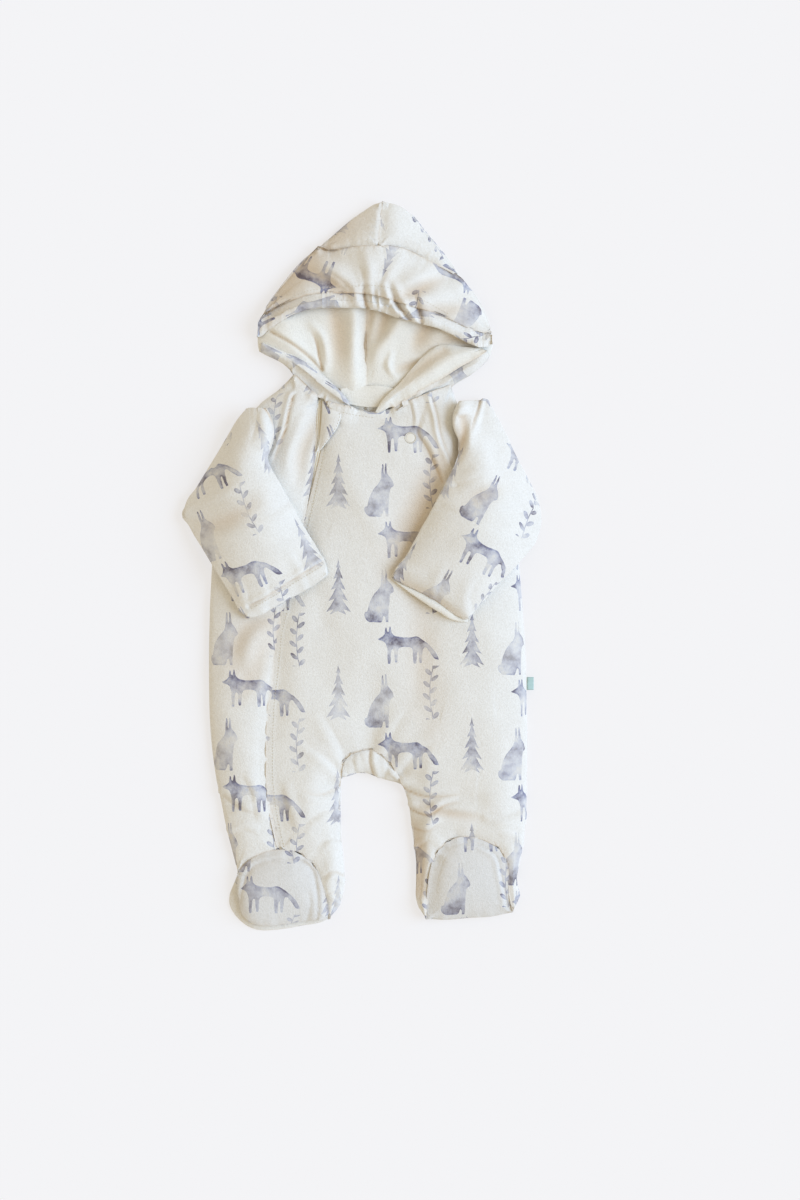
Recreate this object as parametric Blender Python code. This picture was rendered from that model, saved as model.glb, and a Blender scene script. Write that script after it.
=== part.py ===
"""Padded baby overall with hood and closed feet, laid flat on its back.

All tables are in millimetres: X runs across the garment, Y from the feet to
the hood, Z up from the surface it lies on. Every panel is a padded wall that
is lofted over a lattice of sections and rests on the panels beneath it.
"""
import math

import bpy
from mathutils import Vector
from mathutils.bvhtree import BVHTree

MM = 0.001                # table unit in metres
TINY = 1e-9
CURVE_STEPS = 12          # samples between two points of an outline
SKY = 300.0               # height from which the surface below is looked for
SEAM_HALF_GAP = 0.15      # each panel stops this far short of its seam line
LAYER_GAP = 0.35          # between a panel and the one it lies on
RIM_ROUND = 1.2           # how far a wall's faces draw back from its edge
RIM_SHARE = 0.34          # and at most this share of the nearest cell
RIM_REACH = 1.0           # a rim clears what lies within this distance
COMPASS = 8               # directions in which a point looks for a higher surface
THINNEST = 1.2            # of a wall, however deep its creases
FOLD_FADE = 6             # folds grow from a rim over this distance
FOLD_AT_RIM = 0.3         # from this share of their height
ROWS_TORSO = 18
ROWS_LEG = 7
ROWS_SOLE = 4
ROWS_CROWN = 4
ROWS_HOOD = 5
ROWS_MOUTH = 6
RELAX_TORSO = 12
RELAX_LEG = 3
COLUMNS_SIDE = 5
COLUMNS_LEG_LEFT = 5
COLUMNS_GUSSET = 7
COLUMNS_LEG_RIGHT = 12
ROWS_SLEEVE = 14
COLUMNS_SLEEVE = 7
COLUMNS_CASING = 96
COLUMNS_CROWN_LEFT = 7
COLUMNS_CROWN_RIGHT = 10
RIM_SAMPLES = 40          # along the left sole's rim, where the zip meets it
BRIM_SAMPLES = 80

# Outlines: one row for each section, columns x, y.
BODY_LEFT = ((-63, 178.5), (-73, 173), (-80, 162), (-92, 155), (-102, 145), (-116, 118), (-129, 80),
             (-136, 43), (-139, 6), (-141, -35), (-142, -75), (-142, -115), (-141, -150), (-138, -180),
             (-135, -200))
BODY_RIGHT = ((84, 167.5), (87, 159), (91, 149), (101, 127), (120, 90), (137, 53), (146, 15), (150, -31),
              (153, -68), (154, -106), (155, -143), (155, -180), (154.5, -205))
ZIP_LINE = ((-36, 152), (-37, 132), (-39, 108), (-45, 80), (-53, 43), (-63, 6), (-72, -35), (-78, -60),
            (-82, -98), (-85, -120), (-87, -160), (-87, -199))
ZIP_KNEE = (-83.5, -230)  # the zip's line in the leg
ZIP_LEG_SHARE = 0.325     # where the zip meets the left sole, as a share of the leg's lower edge
ZIP_OPEN = 3.2            # half its opening at the neck
ZIP_CLOSED = 1.35         # and where the two fronts have closed over the tape
ZIP_CLOSED_ROW = 10       # which is this far down the torso
NECK_SIDE = ((-63, 178.5), (-50, 167), (-38.6, 156))
NECK_MAIN = ((-33.4, 153), (-21, 148.5), (-9, 146.5), (3, 144.5), (13, 142.5), (24, 143.5), (33, 146),
             (46, 152.5), (64, 160), (79, 165), (84, 167.5))
CROTCH_LEFT = (-19, -197)
CROTCH_RIGHT = (39, -204)
GUSSET_UPPER = (CROTCH_LEFT, (-17, -181), (-9, -174), (1, -170.5), (10, -169.5), (20, -175), (29, -184),
                CROTCH_RIGHT)
GUSSET_LOWER = (CROTCH_LEFT, (-11, -195.5), (-3, -192.5), (6, -193), (15, -196.5), (23, -199), (31, -201),
                CROTCH_RIGHT)
LEG_LEFT_OUTER = ((-135, -200), (-131, -217), (-126, -243), (-119, -270), (-115, -286))
LEG_LEFT_INNER = (CROTCH_LEFT, (-19, -217), (-19, -236), (-18, -260), (-15, -284), (-15, -303), (-18, -314),
                  (-24, -321), (-29, -329))
SOLE_LEFT_RIM = ((-115, -286), (-107, -276), (-96, -268.5), (-84, -264.5), (-72, -263.5), (-60, -264.5),
                 (-51, -269), (-44, -277), (-39, -286), (-36, -297), (-33, -309), (-29, -329))
SOLE_LEFT_SIDE = ((-115, -286), (-114.5, -300), (-114.5, -313), (-110, -327))
SOLE_LEFT_TOE = ((-110, -327), (-102, -333.5), (-90, -335.5), (-70, -333.5), (-50, -330), (-38, -328.5),
                 (-29, -329))
HEEL_LEFT = ((-115, -286), (-119, -296), (-124.5, -307), (-122, -320), (-112, -332), (-98, -339.8),
             (-74, -338.8), (-52, -334.8), (-37, -332.8), (-29, -329))
LEG_RIGHT_INNER = (CROTCH_RIGHT, (44, -218), (47, -243), (50, -264), (52, -284), (51, -298), (50, -310),
                   (53, -320), (60, -328.5))
LEG_RIGHT_OUTER = ((154.5, -205), (154.5, -222), (153, -245), (151, -264), (146, -284), (145, -294),
                   (148, -304), (149, -312), (142, -322))
SOLE_RIGHT_RIM = ((60, -328.5), (61.5, -311), (63, -294), (65, -279), (69, -267), (77, -257.5), (87, -252),
                  (97, -250.5), (108, -252), (119, -255.5), (129, -261.5), (135, -270), (138, -283),
                  (137, -298), (138.5, -308), (142, -322))
SOLE_RIGHT_TOE = ((60, -328.5), (66, -332), (79, -330), (92, -328), (106, -327.5), (120, -327), (132, -325.5),
                  (142, -322))

BRIM = ((-97, 208), (-85, 220), (-70, 229.5), (-54, 237), (-36, 239.5), (-14, 239.5), (8, 238.5), (22, 234.5),
        (40, 228), (72, 220.5), (92, 211), (110, 203), (123, 204))
MOUTH_LEFT = ((-97, 208), (-95, 200.5), (-74, 190), (-63, 179.4))
MOUTH_RIGHT = ((123, 204), (121, 196.5), (107, 182), (85.5, 169.2))
MOUTH_LOW = ((-63, 179.4), (-50, 167.7), (-38.6, 156.9), (-33.4, 154), (-21, 149), (-9, 147), (3, 145),
             (13, 143), (24, 144), (33, 146.5), (46, 153), (64, 160.5), (79, 165.6), (85.5, 169.2))
CROSS_SEAM_LEFT = ((-40, 298), (-30, 294), (-18, 295), (-5, 297), (5, 297.5), (16, 297))
CROSS_SEAM_RIGHT = ((16, 297), (26, 297.5), (39, 295.5), (52, 290), (67, 282), (77, 278), (88, 272), (95, 267))
CENTRE_SEAM = ((16, 297), (16.5, 306), (17.5, 316), (19, 328), (20, 340))
HOOD_LEFT = ((-97, 208), (-98.5, 220), (-95, 232), (-85, 248), (-73, 264), (-60, 281), (-49, 291.5), (-40, 298))
HOOD_RIGHT = ((123, 204), (122, 217), (118, 232), (110, 249), (102, 260), (95, 267))
CROWN_LEFT_SIDE = ((-40, 298), (-30, 306), (-18, 316.5), (-8, 325))
CROWN_LEFT_TOP = ((-8, 325), (4, 333), (12, 338), (20, 340))
CROWN_RIGHT_SIDE = ((95, 267), (86, 281), (78, 292), (68, 304), (58, 315.5), (50, 326.5))
CROWN_RIGHT_TOP = ((20, 340), (28, 339), (38, 335.5), (50, 326.5))

# Lips, rolls and facings in the mouth of the hood: columns are the two edges' x, y.
LIP_LEFT = ((-94, 200, -93, 209), (-74, 189.5, -71, 200), (-62, 180, -54, 192), (-50, 168, -42, 184),
            (-37, 158, -28, 172), (-23, 150.5, -15, 159), (-10, 148, -8.5, 150))
LIP_RIGHT = ((33, 147, 33, 149), (50, 155, 49, 159), (65, 161, 63, 168), (80, 166, 79, 176),
             (92, 173.5, 92, 185), (108, 182, 108, 193.5), (120, 196, 118, 201))
ROLL_RIGHT = ((14, 144.5, 13, 146.5), (30, 151.5, 22, 158), (48, 160.5, 34, 169), (62, 169, 47, 184),
              (77, 177.5, 59, 197), (91, 186.5, 73, 207), (107, 195, 96, 204.5), (116, 202, 113, 203.5))
NECK_FACING = ((-20, 153, -20, 166), (-6, 150, -6, 167), (10, 148, 10, 169), (24, 149, 22, 168),
               (33, 151, 31, 166))

# Sleeves: columns outer x, y and inner x, y, a row for each section from shoulder to cuff.
SLEEVE_LEFT = ((-106, 147, -87, 147), (-113, 141, -81, 133), (-129, 114, -80, 117), (-147, 85, -87, 101),
               (-162, 60, -75, 78), (-167, 50, -64, 58), (-160, 37, -53, 38), (-146, 14, -42, 20),
               (-132, -9, -33, 5), (-117, -33, -29, -3), (-106, -49, -30, -8))
SLEEVE_LEFT_CUFF = ((-106, -49), (-98, -48), (-85, -41), (-70, -32.5), (-55, -24.5), (-41, -16), (-30, -8))
SLEEVE_RIGHT = ((118, 156, 91, 154), (129, 135, 84.5, 141), (142, 109, 85, 127), (155, 84, 92, 113),
                (165, 65, 87, 95), (168.5, 46, 77, 75), (166, 27, 64, 50), (156, 13, 51, 27),
                (138, -6, 39, 5), (116, -29, 30, -4), (99, -50, 28, -11))
SLEEVE_RIGHT_CUFF = ((99, -50), (93, -49), (82, -41), (68, -31), (54, -23.5), (40, -17), (28, -11))
SLEEVE_RIGHT_LINING = ((99, -51.5), (91, -53), (79, -47), (67, -39.5), (54, -31), (40, -21), (28, -11.5))
GUARD = ((-36.5, 151, -18, 148), (-37, 140, -18, 138), (-38, 129, -22, 128), (-39.5, 117, -29, 118),
         (-41.5, 106, -37.5, 108))
LABEL = {"x": 154.2, "y_low": -115, "y_high": -103, "length": 6.5, "z": 5.2, "thickness": 1.1}
POPPER = {"x": 46, "y": 119.5, "ring_radius": 5.4, "ring_width": 1.5, "cap_height": 1.6, "centre_height": 0.9,
          "foot_share": 0.9, "crest_share": 0.93, "floor_share": 0.85, "steps": 22}

# Sections along and across the strips.
STRIPS = {
    "facing": {"rows": 6, "columns": 2},
    "roll": {"rows": 12, "columns": 4},
    "lip_left": {"rows": 12, "columns": 3},
    "lip_right": {"rows": 10, "columns": 3},
    "guard": {"rows": 6, "columns": 3},
}

# Padding: full thickness, share left at the rim, reach of the rounding, and the lift over the layer below.
WALL = {
    "back": {"full": 8.5, "rim": 0.42, "reach": 16},
    "front_main": {"full": 11.5, "rim": 0.42, "reach": 20},
    "front_side": {"full": 9.5, "rim": 0.46, "reach": 16},
    "zip": {"full": 4.2, "rim": 0.8, "reach": 2},
    "gusset": {"full": 9.5, "rim": 0.5, "reach": 8},
    "sleeve_under": {"full": 7.0, "rim": 0.45, "reach": 12},
    "sleeve_upper": {"full": 12.5, "rim": 0.4, "reach": 17},
    "sole": {"full": 10.5, "rim": 0.66, "reach": 7},
    "hood_back": {"full": 7.5, "rim": 0.45, "reach": 12},
    "lining": {"full": 2.6, "rim": 0.7, "reach": 6},
    "facing": {"full": 1.6, "rim": 0.8, "reach": 5},
    "roll": {"full": 11.0, "rim": 0.35, "reach": 8},
    "lip": {"full": 9.0, "rim": 0.45, "reach": 4},
    "hood_front": {"full": 8.5, "rim": 0.5, "reach": 12},
    "casing": {"full": 7.0, "rim": 0.6, "reach": 4},
    "crown": {"full": 11.0, "rim": 0.42, "reach": 14},
    "guard": {"full": 3.2, "rim": 0.6, "reach": 3},
}
MOUTH_LIFT = 9.5          # how far the brim stands off the lining
MOUTH_LIFT_REACH = 34     # over which the hood's front sinks back to the layer below
MOUTH_LIFT_ENDS = 60      # and the brim comes down to the lips over this distance
RIDGE_LINE = ((10, 244), (13, 262), (16, 280), (16.5, 297), (18, 316))    # along which the hood peaks
RIDGE_HEIGHT = 11
RIDGE_HALF_WIDTH = {"low": 60, "high": 32, "y_low": 244, "y_high": 330}
RIDGE_EDGE = 24           # over which it sinks to the hood's outer edge
RIDGE_BRIM = 22           # and to the brim, where a share of it is left
RIDGE_AT_BRIM = 0.4

# Folds: start x, y, end x, y, half width, height (a negative height is a crease).
BODY_FOLDS = (
    (-63, 172, -80, 62, 7, 3.0), (-74, 150, -88, 96, 6, -2.5), (70, 158, 84, 84, 7, 2.5),
    (68, 160, 54, 120, 6, -2.0), (54, 120, 76, 60, 7, -2.0), (40, 150, 44, 128, 5, -1.5),
    (24, 142, 30, 112, 5, 1.5), (-24, 100, 20, 20, 14, 1.5), (-60, 20, -30, -60, 12, -1.5),
    (-8, -160, -60, -120, 11, 2.0), (24, -168, 92, -118, 12, 2.2), (8, -166, 10, -110, 9, -1.8),
    (50, -218, 108, -217, 9, -2.8), (56, -234, 92, -229, 10, 3.0), (110, -236, 150, -228, 9, -1.6),
    (-128, -222, -96, -248, 8, -2.2), (-80, -214, -28, -228, 10, 2.2), (-74, -250, -30, -246, 8, -2.0),
    (-132, -160, -100, -190, 10, 1.6), (148, -60, 104, -84, 12, -1.2), (-136, -60, -104, -80, 10, -1.2),
)
SLEEVE_FOLDS = (
    (-84, 138, -88, 104, 5, 3.0), (-160, 52, -104, 62, 8, -2.4), (-150, 66, -92, 96, 9, 2.0),
    (-148, 24, -84, 52, 9, 2.2), (-118, -36, -40, 6, 5, -2.2), (-118, -8, -66, 26, 8, -1.8),
    (88, 146, 96, 112, 5, 3.0), (112, 146, 102, 124, 5, -2.6), (162, 60, 108, 84, 8, 2.2),
    (160, 38, 88, 76, 8, -2.4), (140, 2, 74, 40, 9, 2.0), (108, -30, 44, -4, 5, -1.6),
)
HOOD_FOLDS = (
    (-12, 254, -52, 284, 6, 3.0), (-4, 256, -16, 292, 5, -2.4), (10, 258, 8, 294, 5, 2.2),
    (22, 260, 34, 290, 5, -2.0), (34, 252, 66, 276, 6, 2.8), (48, 244, 92, 256, 6, -2.2),
    (-30, 256, -78, 250, 6, -2.2), (12, 300, 15, 334, 5, 1.4), (58, 236, 112, 232, 7, 2.0),
)
SOLE_FOLDS = (
    (-104, -318, -92, -332, 5, 1.8), (-52, -290, -46, -322, 7, -1.6), (118, -268, 124, -312, 9, -1.8),
    (84, -262, 70, -318, 7, 1.4),
)
LINING_FOLDS = (
    (-22, 232, -14, 168, 6, 2.4), (2, 234, 6, 170, 4, -1.2), (18, 232, 22, 168, 6, 2.0),
    (-46, 228, -36, 184, 6, -1.4), (46, 224, 34, 176, 6, 2.2), (-70, 222, -48, 196, 5, 2.0),
)
GATHERS = {"count": 10, "x_start": -16, "x_end": 60, "height": 2.6}
CASING_ROWS = (0.0, 0.5, 0.97)    # across the casing, which stops just short of its stitch line

COLOURS = {
    "printed_velour": ((0.84, 0.82, 0.77, 1.0), 0.9, 0.0),
    "plain_velour": ((0.86, 0.82, 0.72, 1.0), 0.92, 0.0),
    "zip_tape": ((0.83, 0.80, 0.72, 1.0), 0.8, 0.0),
    "popper_ring": ((0.86, 0.82, 0.74, 1.0), 0.35, 0.0),
    "label_tape": ((0.40, 0.60, 0.56, 1.0), 0.8, 0.0),
}

solids_below = []


def spline(points, count):
    """Even samples along a smooth curve through the points."""
    fine = []
    last = len(points) - 1
    for index in range(last):
        before = Vector(points[max(index - 1, 0)])
        start = Vector(points[index])
        end = Vector(points[index + 1])
        after = Vector(points[min(index + 2, last)])
        for step in range(CURVE_STEPS):
            t = step / CURVE_STEPS
            bend = (2 * before - 5 * start + 4 * end - after) * t * t
            curl = (3 * start - before - 3 * end + after) * t * t * t
            fine.append(0.5 * (2 * start + (end - before) * t + bend + curl))
    fine.append(Vector(points[last]))
    return resample(fine, count)


def resample(fine, count):
    """Count + 1 points at equal steps of length along a polyline."""
    lengths = [0.0]
    for start, end in zip(fine, fine[1:]):
        lengths.append(lengths[-1] + (end - start).length)
    result = []
    place = 0
    for index in range(count + 1):
        target = lengths[-1] * index / count
        while place < len(fine) - 2 and lengths[place + 1] < target:
            place += 1
        span = max(lengths[place + 1] - lengths[place], TINY)
        result.append(fine[place].lerp(fine[place + 1], (target - lengths[place]) / span))
    return result


def patch(left, right, top, bottom, relaxed=0):
    """Rows of points that fill the space between four edges, evened out a few times where asked."""
    rows = len(left) - 1
    columns = len(top) - 1
    grid = []
    for row in range(rows + 1):
        v = row / rows
        line = []
        for column in range(columns + 1):
            u = column / columns
            across = left[row].lerp(right[row], u)
            rise = top[column] - top[0].lerp(top[columns], u)
            fall = bottom[column] - bottom[0].lerp(bottom[columns], u)
            line.append(across + rise * (1 - v) + fall * v)
        grid.append(line)
    for _ in range(relaxed):
        for row in range(1, rows):
            for column in range(1, columns):
                mean = (grid[row - 1][column] + grid[row + 1][column] + grid[row][column - 1]
                        + grid[row][column + 1]) / 4
                grid[row][column] = grid[row][column].lerp(mean, 0.5)
    return grid


def table_patch(table, rows, columns, bottom=None):
    """A lattice from a table whose rows hold two edges' x, y."""
    left = spline([row[:2] for row in table], rows)
    right = spline([row[2:4] for row in table], rows)
    top = straight(left[0], right[0], columns)
    last = straight(left[rows], right[rows], columns) if bottom is None else spline(bottom, columns)
    return patch(left, right, top, last)


class Lattice:
    """Points and cells of one panel, gathered from one or more patches."""

    def __init__(self, *grids):
        self.points = []
        self.cells = []
        seen = {}
        for grid in grids:
            keys = []
            for line in grid:
                row_keys = []
                for point in line:
                    key = (round(point.x, 2), round(point.y, 2))
                    if key not in seen:
                        seen[key] = len(self.points)
                        self.points.append(Vector(point))
                    row_keys.append(seen[key])
                keys.append(row_keys)
            self.add_cells(keys)

    def add_cells(self, keys):
        for upper, lower in zip(keys, keys[1:]):
            for column in range(len(upper) - 1):
                ring = []
                for key in (upper[column], lower[column], lower[column + 1], upper[column + 1]):
                    if key not in ring:
                        ring.append(key)
                if len(ring) > 2:
                    self.cells.append(self.turned_up(ring))

    def turned_up(self, ring):
        """The cell's corners in the order that faces up."""
        area = 0.0
        for index, key in enumerate(ring):
            here = self.points[key]
            there = self.points[ring[(index + 1) % len(ring)]]
            area += here.x * there.y - there.x * here.y
        return ring if area > 0 else ring[::-1]

    def halves(self):
        """Each cell cut along its shorter diagonal, so that panels on one lattice match."""
        result = []
        for ring in self.cells:
            if len(ring) == 3:
                result.append(ring)
                continue
            a, b, c, d = ring
            straight = (self.points[a] - self.points[c]).length - (self.points[b] - self.points[d]).length
            if straight < 0:
                result += [[a, b, c], [a, c, d]]
            else:
                result += [[a, b, d], [b, c, d]]
        return result

    def rim(self):
        """Directed edges that belong to one cell only."""
        edges = {}
        for ring in self.cells:
            for index, key in enumerate(ring):
                edges[(key, ring[(index + 1) % len(ring)])] = True
        return [edge for edge in edges if (edge[1], edge[0]) not in edges]

    def inward(self, rim):
        """For each rim point the step that leads into the panel."""
        nearest = {}
        for ring in self.cells:
            for index, key in enumerate(ring):
                other = ring[(index + 1) % len(ring)]
                length = (self.points[key] - self.points[other]).length
                nearest[key] = min(nearest.get(key, length), length)
                nearest[other] = min(nearest.get(other, length), length)
        turns = {}
        for start, end in rim:
            along = self.points[end] - self.points[start]
            normal = Vector((-along.y, along.x)).normalized()
            turns[start] = turns.get(start, Vector((0, 0))) + normal
            turns[end] = turns.get(end, Vector((0, 0))) + normal
        reach = SEAM_HALF_GAP + RIM_ROUND
        return {key: value.normalized() * min(reach, nearest[key] * RIM_SHARE) for key, value in turns.items()}


def distance_to_rim(point, segments):
    """How far a point lies from the nearest edge."""
    best = math.inf
    for start, end in segments:
        along = end - start
        share = max(0.0, min(1.0, (point - start).dot(along) / max(along.length_squared, TINY)))
        best = min(best, (point - start - along * share).length)
    return best


def fold_height(point, folds):
    """Sum of the ridges and creases at a point."""
    total = 0.0
    for x0, y0, x1, y1, half_width, height in folds:
        start = Vector((x0, y0))
        along = Vector((x1, y1)) - start
        share = (point - start).dot(along) / along.length_squared
        nearest = start + along * max(0.0, min(1.0, share))
        across = (point - nearest).length / half_width
        total += height * math.exp(-across * across)
    return total


def surface_height(point, reach):
    """Highest surface of the solids already laid, around a point."""
    best = 0.0
    spots = [(0.0, 0.0)]
    for turn in range(COMPASS):
        angle = math.tau * turn / COMPASS
        spots.append((reach * math.cos(angle), reach * math.sin(angle)))
    for tree in solids_below:
        for dx, dy in spots:
            hit = tree.ray_cast(Vector((point.x + dx, point.y + dy, SKY)), Vector((0, 0, -1)))
            if hit[0] is not None:
                best = max(best, hit[0].z)
    return best


def give_material(thing, name):
    """One material for each kind of cloth or trim."""
    colour, roughness, metallic = COLOURS[name]
    material = bpy.data.materials.get(name)
    if material is None:
        material = bpy.data.materials.new(name)
        material.use_nodes = True
        shader = material.node_tree.nodes["Principled BSDF"]
        shader.inputs["Base Color"].default_value = colour
        shader.inputs["Roughness"].default_value = roughness
        shader.inputs["Metallic"].default_value = metallic
    thing.data.materials.append(material)


def finish_object(name, vertices, faces, material, lay=True):
    """A named object in metres from points in millimetres; later panels may lie on it."""
    mesh = bpy.data.meshes.new(name)
    mesh.from_pydata([(x * MM, y * MM, z * MM) for x, y, z in vertices], [], faces)
    mesh.update()
    for polygon in mesh.polygons:
        polygon.use_smooth = True
    thing = bpy.data.objects.new(name, mesh)
    bpy.context.scene.collection.objects.link(thing)
    give_material(thing, material)
    if lay:
        solids_below.append(BVHTree.FromPolygons([Vector(vertex) for vertex in vertices], faces))
    return thing


def wall(name, lattice, padding, material, folds=(), reach=0.05, gap=LAYER_GAP, lift=None, smooth=0,
         extra=None):
    """A padded wall over a lattice, resting on what lies below it."""
    rim = lattice.rim()
    inward = lattice.inward(rim)
    segments = [(lattice.points[start], lattice.points[end]) for start, end in rim]
    flat = []
    for key, point in enumerate(lattice.points):
        flat.append(point + inward.get(key, Vector((0, 0))))
    low = []
    for key, point in enumerate(flat):
        height = surface_height(point, max(reach, RIM_REACH) if key in inward else reach)
        low.append(height + gap if height > 0 else 0.0)
    if lift is not None:
        low = [height + lift(point) for height, point in zip(low, flat)]
    for _ in range(smooth):
        low = settle(lattice, low)
    high = []
    for key, point in enumerate(flat):
        distance = distance_to_rim(lattice.points[key], segments)
        share = padding["rim"] + (1 - padding["rim"]) * (1 - math.exp(-distance / padding["reach"]))
        fade = min(1.0, distance / FOLD_FADE + FOLD_AT_RIM)
        thickness = padding["full"] * share + fold_height(point, folds) * fade
        if extra is not None:
            thickness += extra(point)
        high.append(low[key] + max(thickness, THINNEST))
    count = len(flat)
    vertices = [(point.x, point.y, z) for point, z in zip(flat, low)]
    vertices += [(point.x, point.y, z) for point, z in zip(flat, high)]
    middle = {}
    for key, direction in inward.items():
        middle[key] = len(vertices)
        edge = lattice.points[key] + direction.normalized() * SEAM_HALF_GAP
        vertices.append((edge.x, edge.y, 0.5 * (low[key] + high[key])))
    halves = lattice.halves()
    faces = [[key + count for key in ring] for ring in halves]
    faces += [ring[::-1] for ring in halves]
    for start, end in rim:
        faces.append([start, end, middle[end], middle[start]])
        faces.append([middle[start], middle[end], end + count, start + count])
    return finish_object(name, vertices, faces, material)


def settle(lattice, heights):
    """Cloth bridges the hollows beneath it: each point rises toward its neighbours' mean."""
    sums = [0.0] * len(heights)
    counts = [0] * len(heights)
    for ring in lattice.cells:
        for index, key in enumerate(ring):
            other = ring[(index + 1) % len(ring)]
            sums[key] += heights[other]
            counts[key] += 1
            sums[other] += heights[key]
            counts[other] += 1
    return [max(height, total / number) for height, total, number in zip(heights, sums, counts)]


def revolve(name, profile, centre, base, steps, material):
    """A turned solid from a table of radius, height; its first and last rows lie on the axis."""
    vertices = [(centre.x, centre.y, base + profile[0][1])]
    faces = []
    for radius, height in profile[1:-1]:
        for step in range(steps):
            angle = 2 * math.pi * step / steps
            place = centre + radius * Vector((math.cos(angle), math.sin(angle)))
            vertices.append((place.x, place.y, base + height))
    vertices.append((centre.x, centre.y, base + profile[-1][1]))
    rings = len(profile) - 2
    last = len(vertices) - 1
    for step in range(steps):
        after = (step + 1) % steps
        faces.append([0, 1 + after, 1 + step])
        for ring in range(rings - 1):
            low = 1 + ring * steps
            high = low + steps
            faces.append([low + step, low + after, high + after, high + step])
        top = 1 + (rings - 1) * steps
        faces.append([top + step, top + after, last])
    return finish_object(name, vertices, faces, material)


def straight(start, end, count):
    """Count + 1 points along a straight seam."""
    return [start.lerp(end, step / count) for step in range(count + 1)]


def offset_line(points, amounts):
    """A polyline whose points are moved sideways."""
    moved = []
    for index, (point, amount) in enumerate(zip(points, amounts)):
        along = points[min(index + 1, len(points) - 1)] - points[max(index - 1, 0)]
        moved.append(point + Vector((-along.y, along.x)).normalized() * amount)
    return moved


for old in list(bpy.data.objects):
    bpy.data.objects.remove(old, do_unlink=True)

# Torso: the side strip, the zip and the main front share their rows.
zip_centre = spline(ZIP_LINE, ROWS_TORSO)
zip_shares = [min(1.0, row / ZIP_CLOSED_ROW) for row in range(ROWS_TORSO + 1)]
zip_half = [ZIP_OPEN + (ZIP_CLOSED - ZIP_OPEN) * share for share in zip_shares]
zip_left = offset_line(zip_centre, [-half for half in zip_half])
zip_right = offset_line(zip_centre, zip_half)
neck_side = spline(NECK_SIDE[:-1] + (tuple(zip_left[0]),), COLUMNS_SIDE)
neck_main = spline((tuple(zip_right[0]),) + NECK_MAIN[1:],
                   COLUMNS_LEG_LEFT + COLUMNS_GUSSET + COLUMNS_LEG_RIGHT)
left_side = spline(BODY_LEFT, ROWS_TORSO)
right_side = spline(BODY_RIGHT, ROWS_TORSO)
hem_side = straight(left_side[-1], zip_left[-1], COLUMNS_SIDE)
crotch_left = Vector(CROTCH_LEFT)
crotch_right = Vector(CROTCH_RIGHT)
hem_left = straight(zip_right[-1], crotch_left, COLUMNS_LEG_LEFT)
hem_gusset = [Vector(point) for point in GUSSET_UPPER]
hem_right = straight(crotch_right, right_side[-1], COLUMNS_LEG_RIGHT)
torso_side = patch(left_side, zip_left, neck_side, hem_side)
torso_zip = [[left, right] for left, right in zip(zip_left, zip_right)]
torso_main = patch(zip_right, right_side, neck_main, hem_left + hem_gusset[1:] + hem_right[1:], RELAX_TORSO)

# Legs and feet: the rim of each sole is the lower edge of its leg.
rim_left = spline(SOLE_LEFT_RIM, RIM_SAMPLES)
zip_place = round(ZIP_LEG_SHARE * RIM_SAMPLES)
rim_side = resample(rim_left[:zip_place + 1], COLUMNS_SIDE)
rim_main = resample(rim_left[zip_place + 1:], COLUMNS_LEG_LEFT)
zip_foot = [rim_side[-1], rim_main[0]]
outer_left = spline(LEG_LEFT_OUTER, ROWS_LEG)
outer_left[0] = left_side[-1]
inner_left = spline(LEG_LEFT_INNER, ROWS_LEG)
knee_half_width = Vector((ZIP_CLOSED, 0))
zip_leg_left = spline((zip_left[-1], Vector(ZIP_KNEE) - knee_half_width, zip_foot[0]), ROWS_LEG)
zip_leg_right = spline((zip_right[-1], Vector(ZIP_KNEE) + knee_half_width, zip_foot[1]), ROWS_LEG)
leg_side = patch(outer_left, zip_leg_left, hem_side, rim_side)
leg_zip = [[left, right] for left, right in zip(zip_leg_left, zip_leg_right)]
leg_main = patch(zip_leg_right, inner_left, hem_left, rim_main)
inner_right = spline(LEG_RIGHT_INNER, ROWS_LEG)
outer_right = spline(LEG_RIGHT_OUTER, ROWS_LEG)
outer_right[0] = right_side[-1]
rim_right = spline(SOLE_RIGHT_RIM, COLUMNS_LEG_RIGHT)
leg_right = patch(inner_right, outer_right, hem_right, rim_right, RELAX_LEG)

gusset_grid = [hem_gusset, [upper.lerp(Vector(lower), 0.5) for upper, lower in zip(hem_gusset, GUSSET_LOWER)],
               [Vector(point) for point in GUSSET_LOWER]]

rim_left_all = rim_side + rim_main
sole_top = rim_left_all[:-ROWS_SOLE]
sole_side = spline(SOLE_LEFT_SIDE, ROWS_SOLE)
sole_toe = spline(SOLE_LEFT_TOE, len(sole_top) - 1)
foot_left = patch(sole_side, rim_left_all[-ROWS_SOLE - 1:], sole_top, sole_toe)
sole_edge = sole_side + sole_toe[1:]
heel_strip = [sole_edge, spline(HEEL_LEFT, len(sole_edge) - 1)]
toe_right = spline(SOLE_RIGHT_TOE, COLUMNS_LEG_RIGHT - 2 * ROWS_SOLE)
foot_right = patch(rim_right[ROWS_SOLE::-1], rim_right[-ROWS_SOLE - 1:], rim_right[ROWS_SOLE:-ROWS_SOLE],
                   toe_right)

wall("back", Lattice(torso_side, torso_zip, torso_main, leg_side, leg_zip, leg_main, leg_right, gusset_grid,
                     foot_left, heel_strip, foot_right), WALL["back"], "printed_velour")

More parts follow.
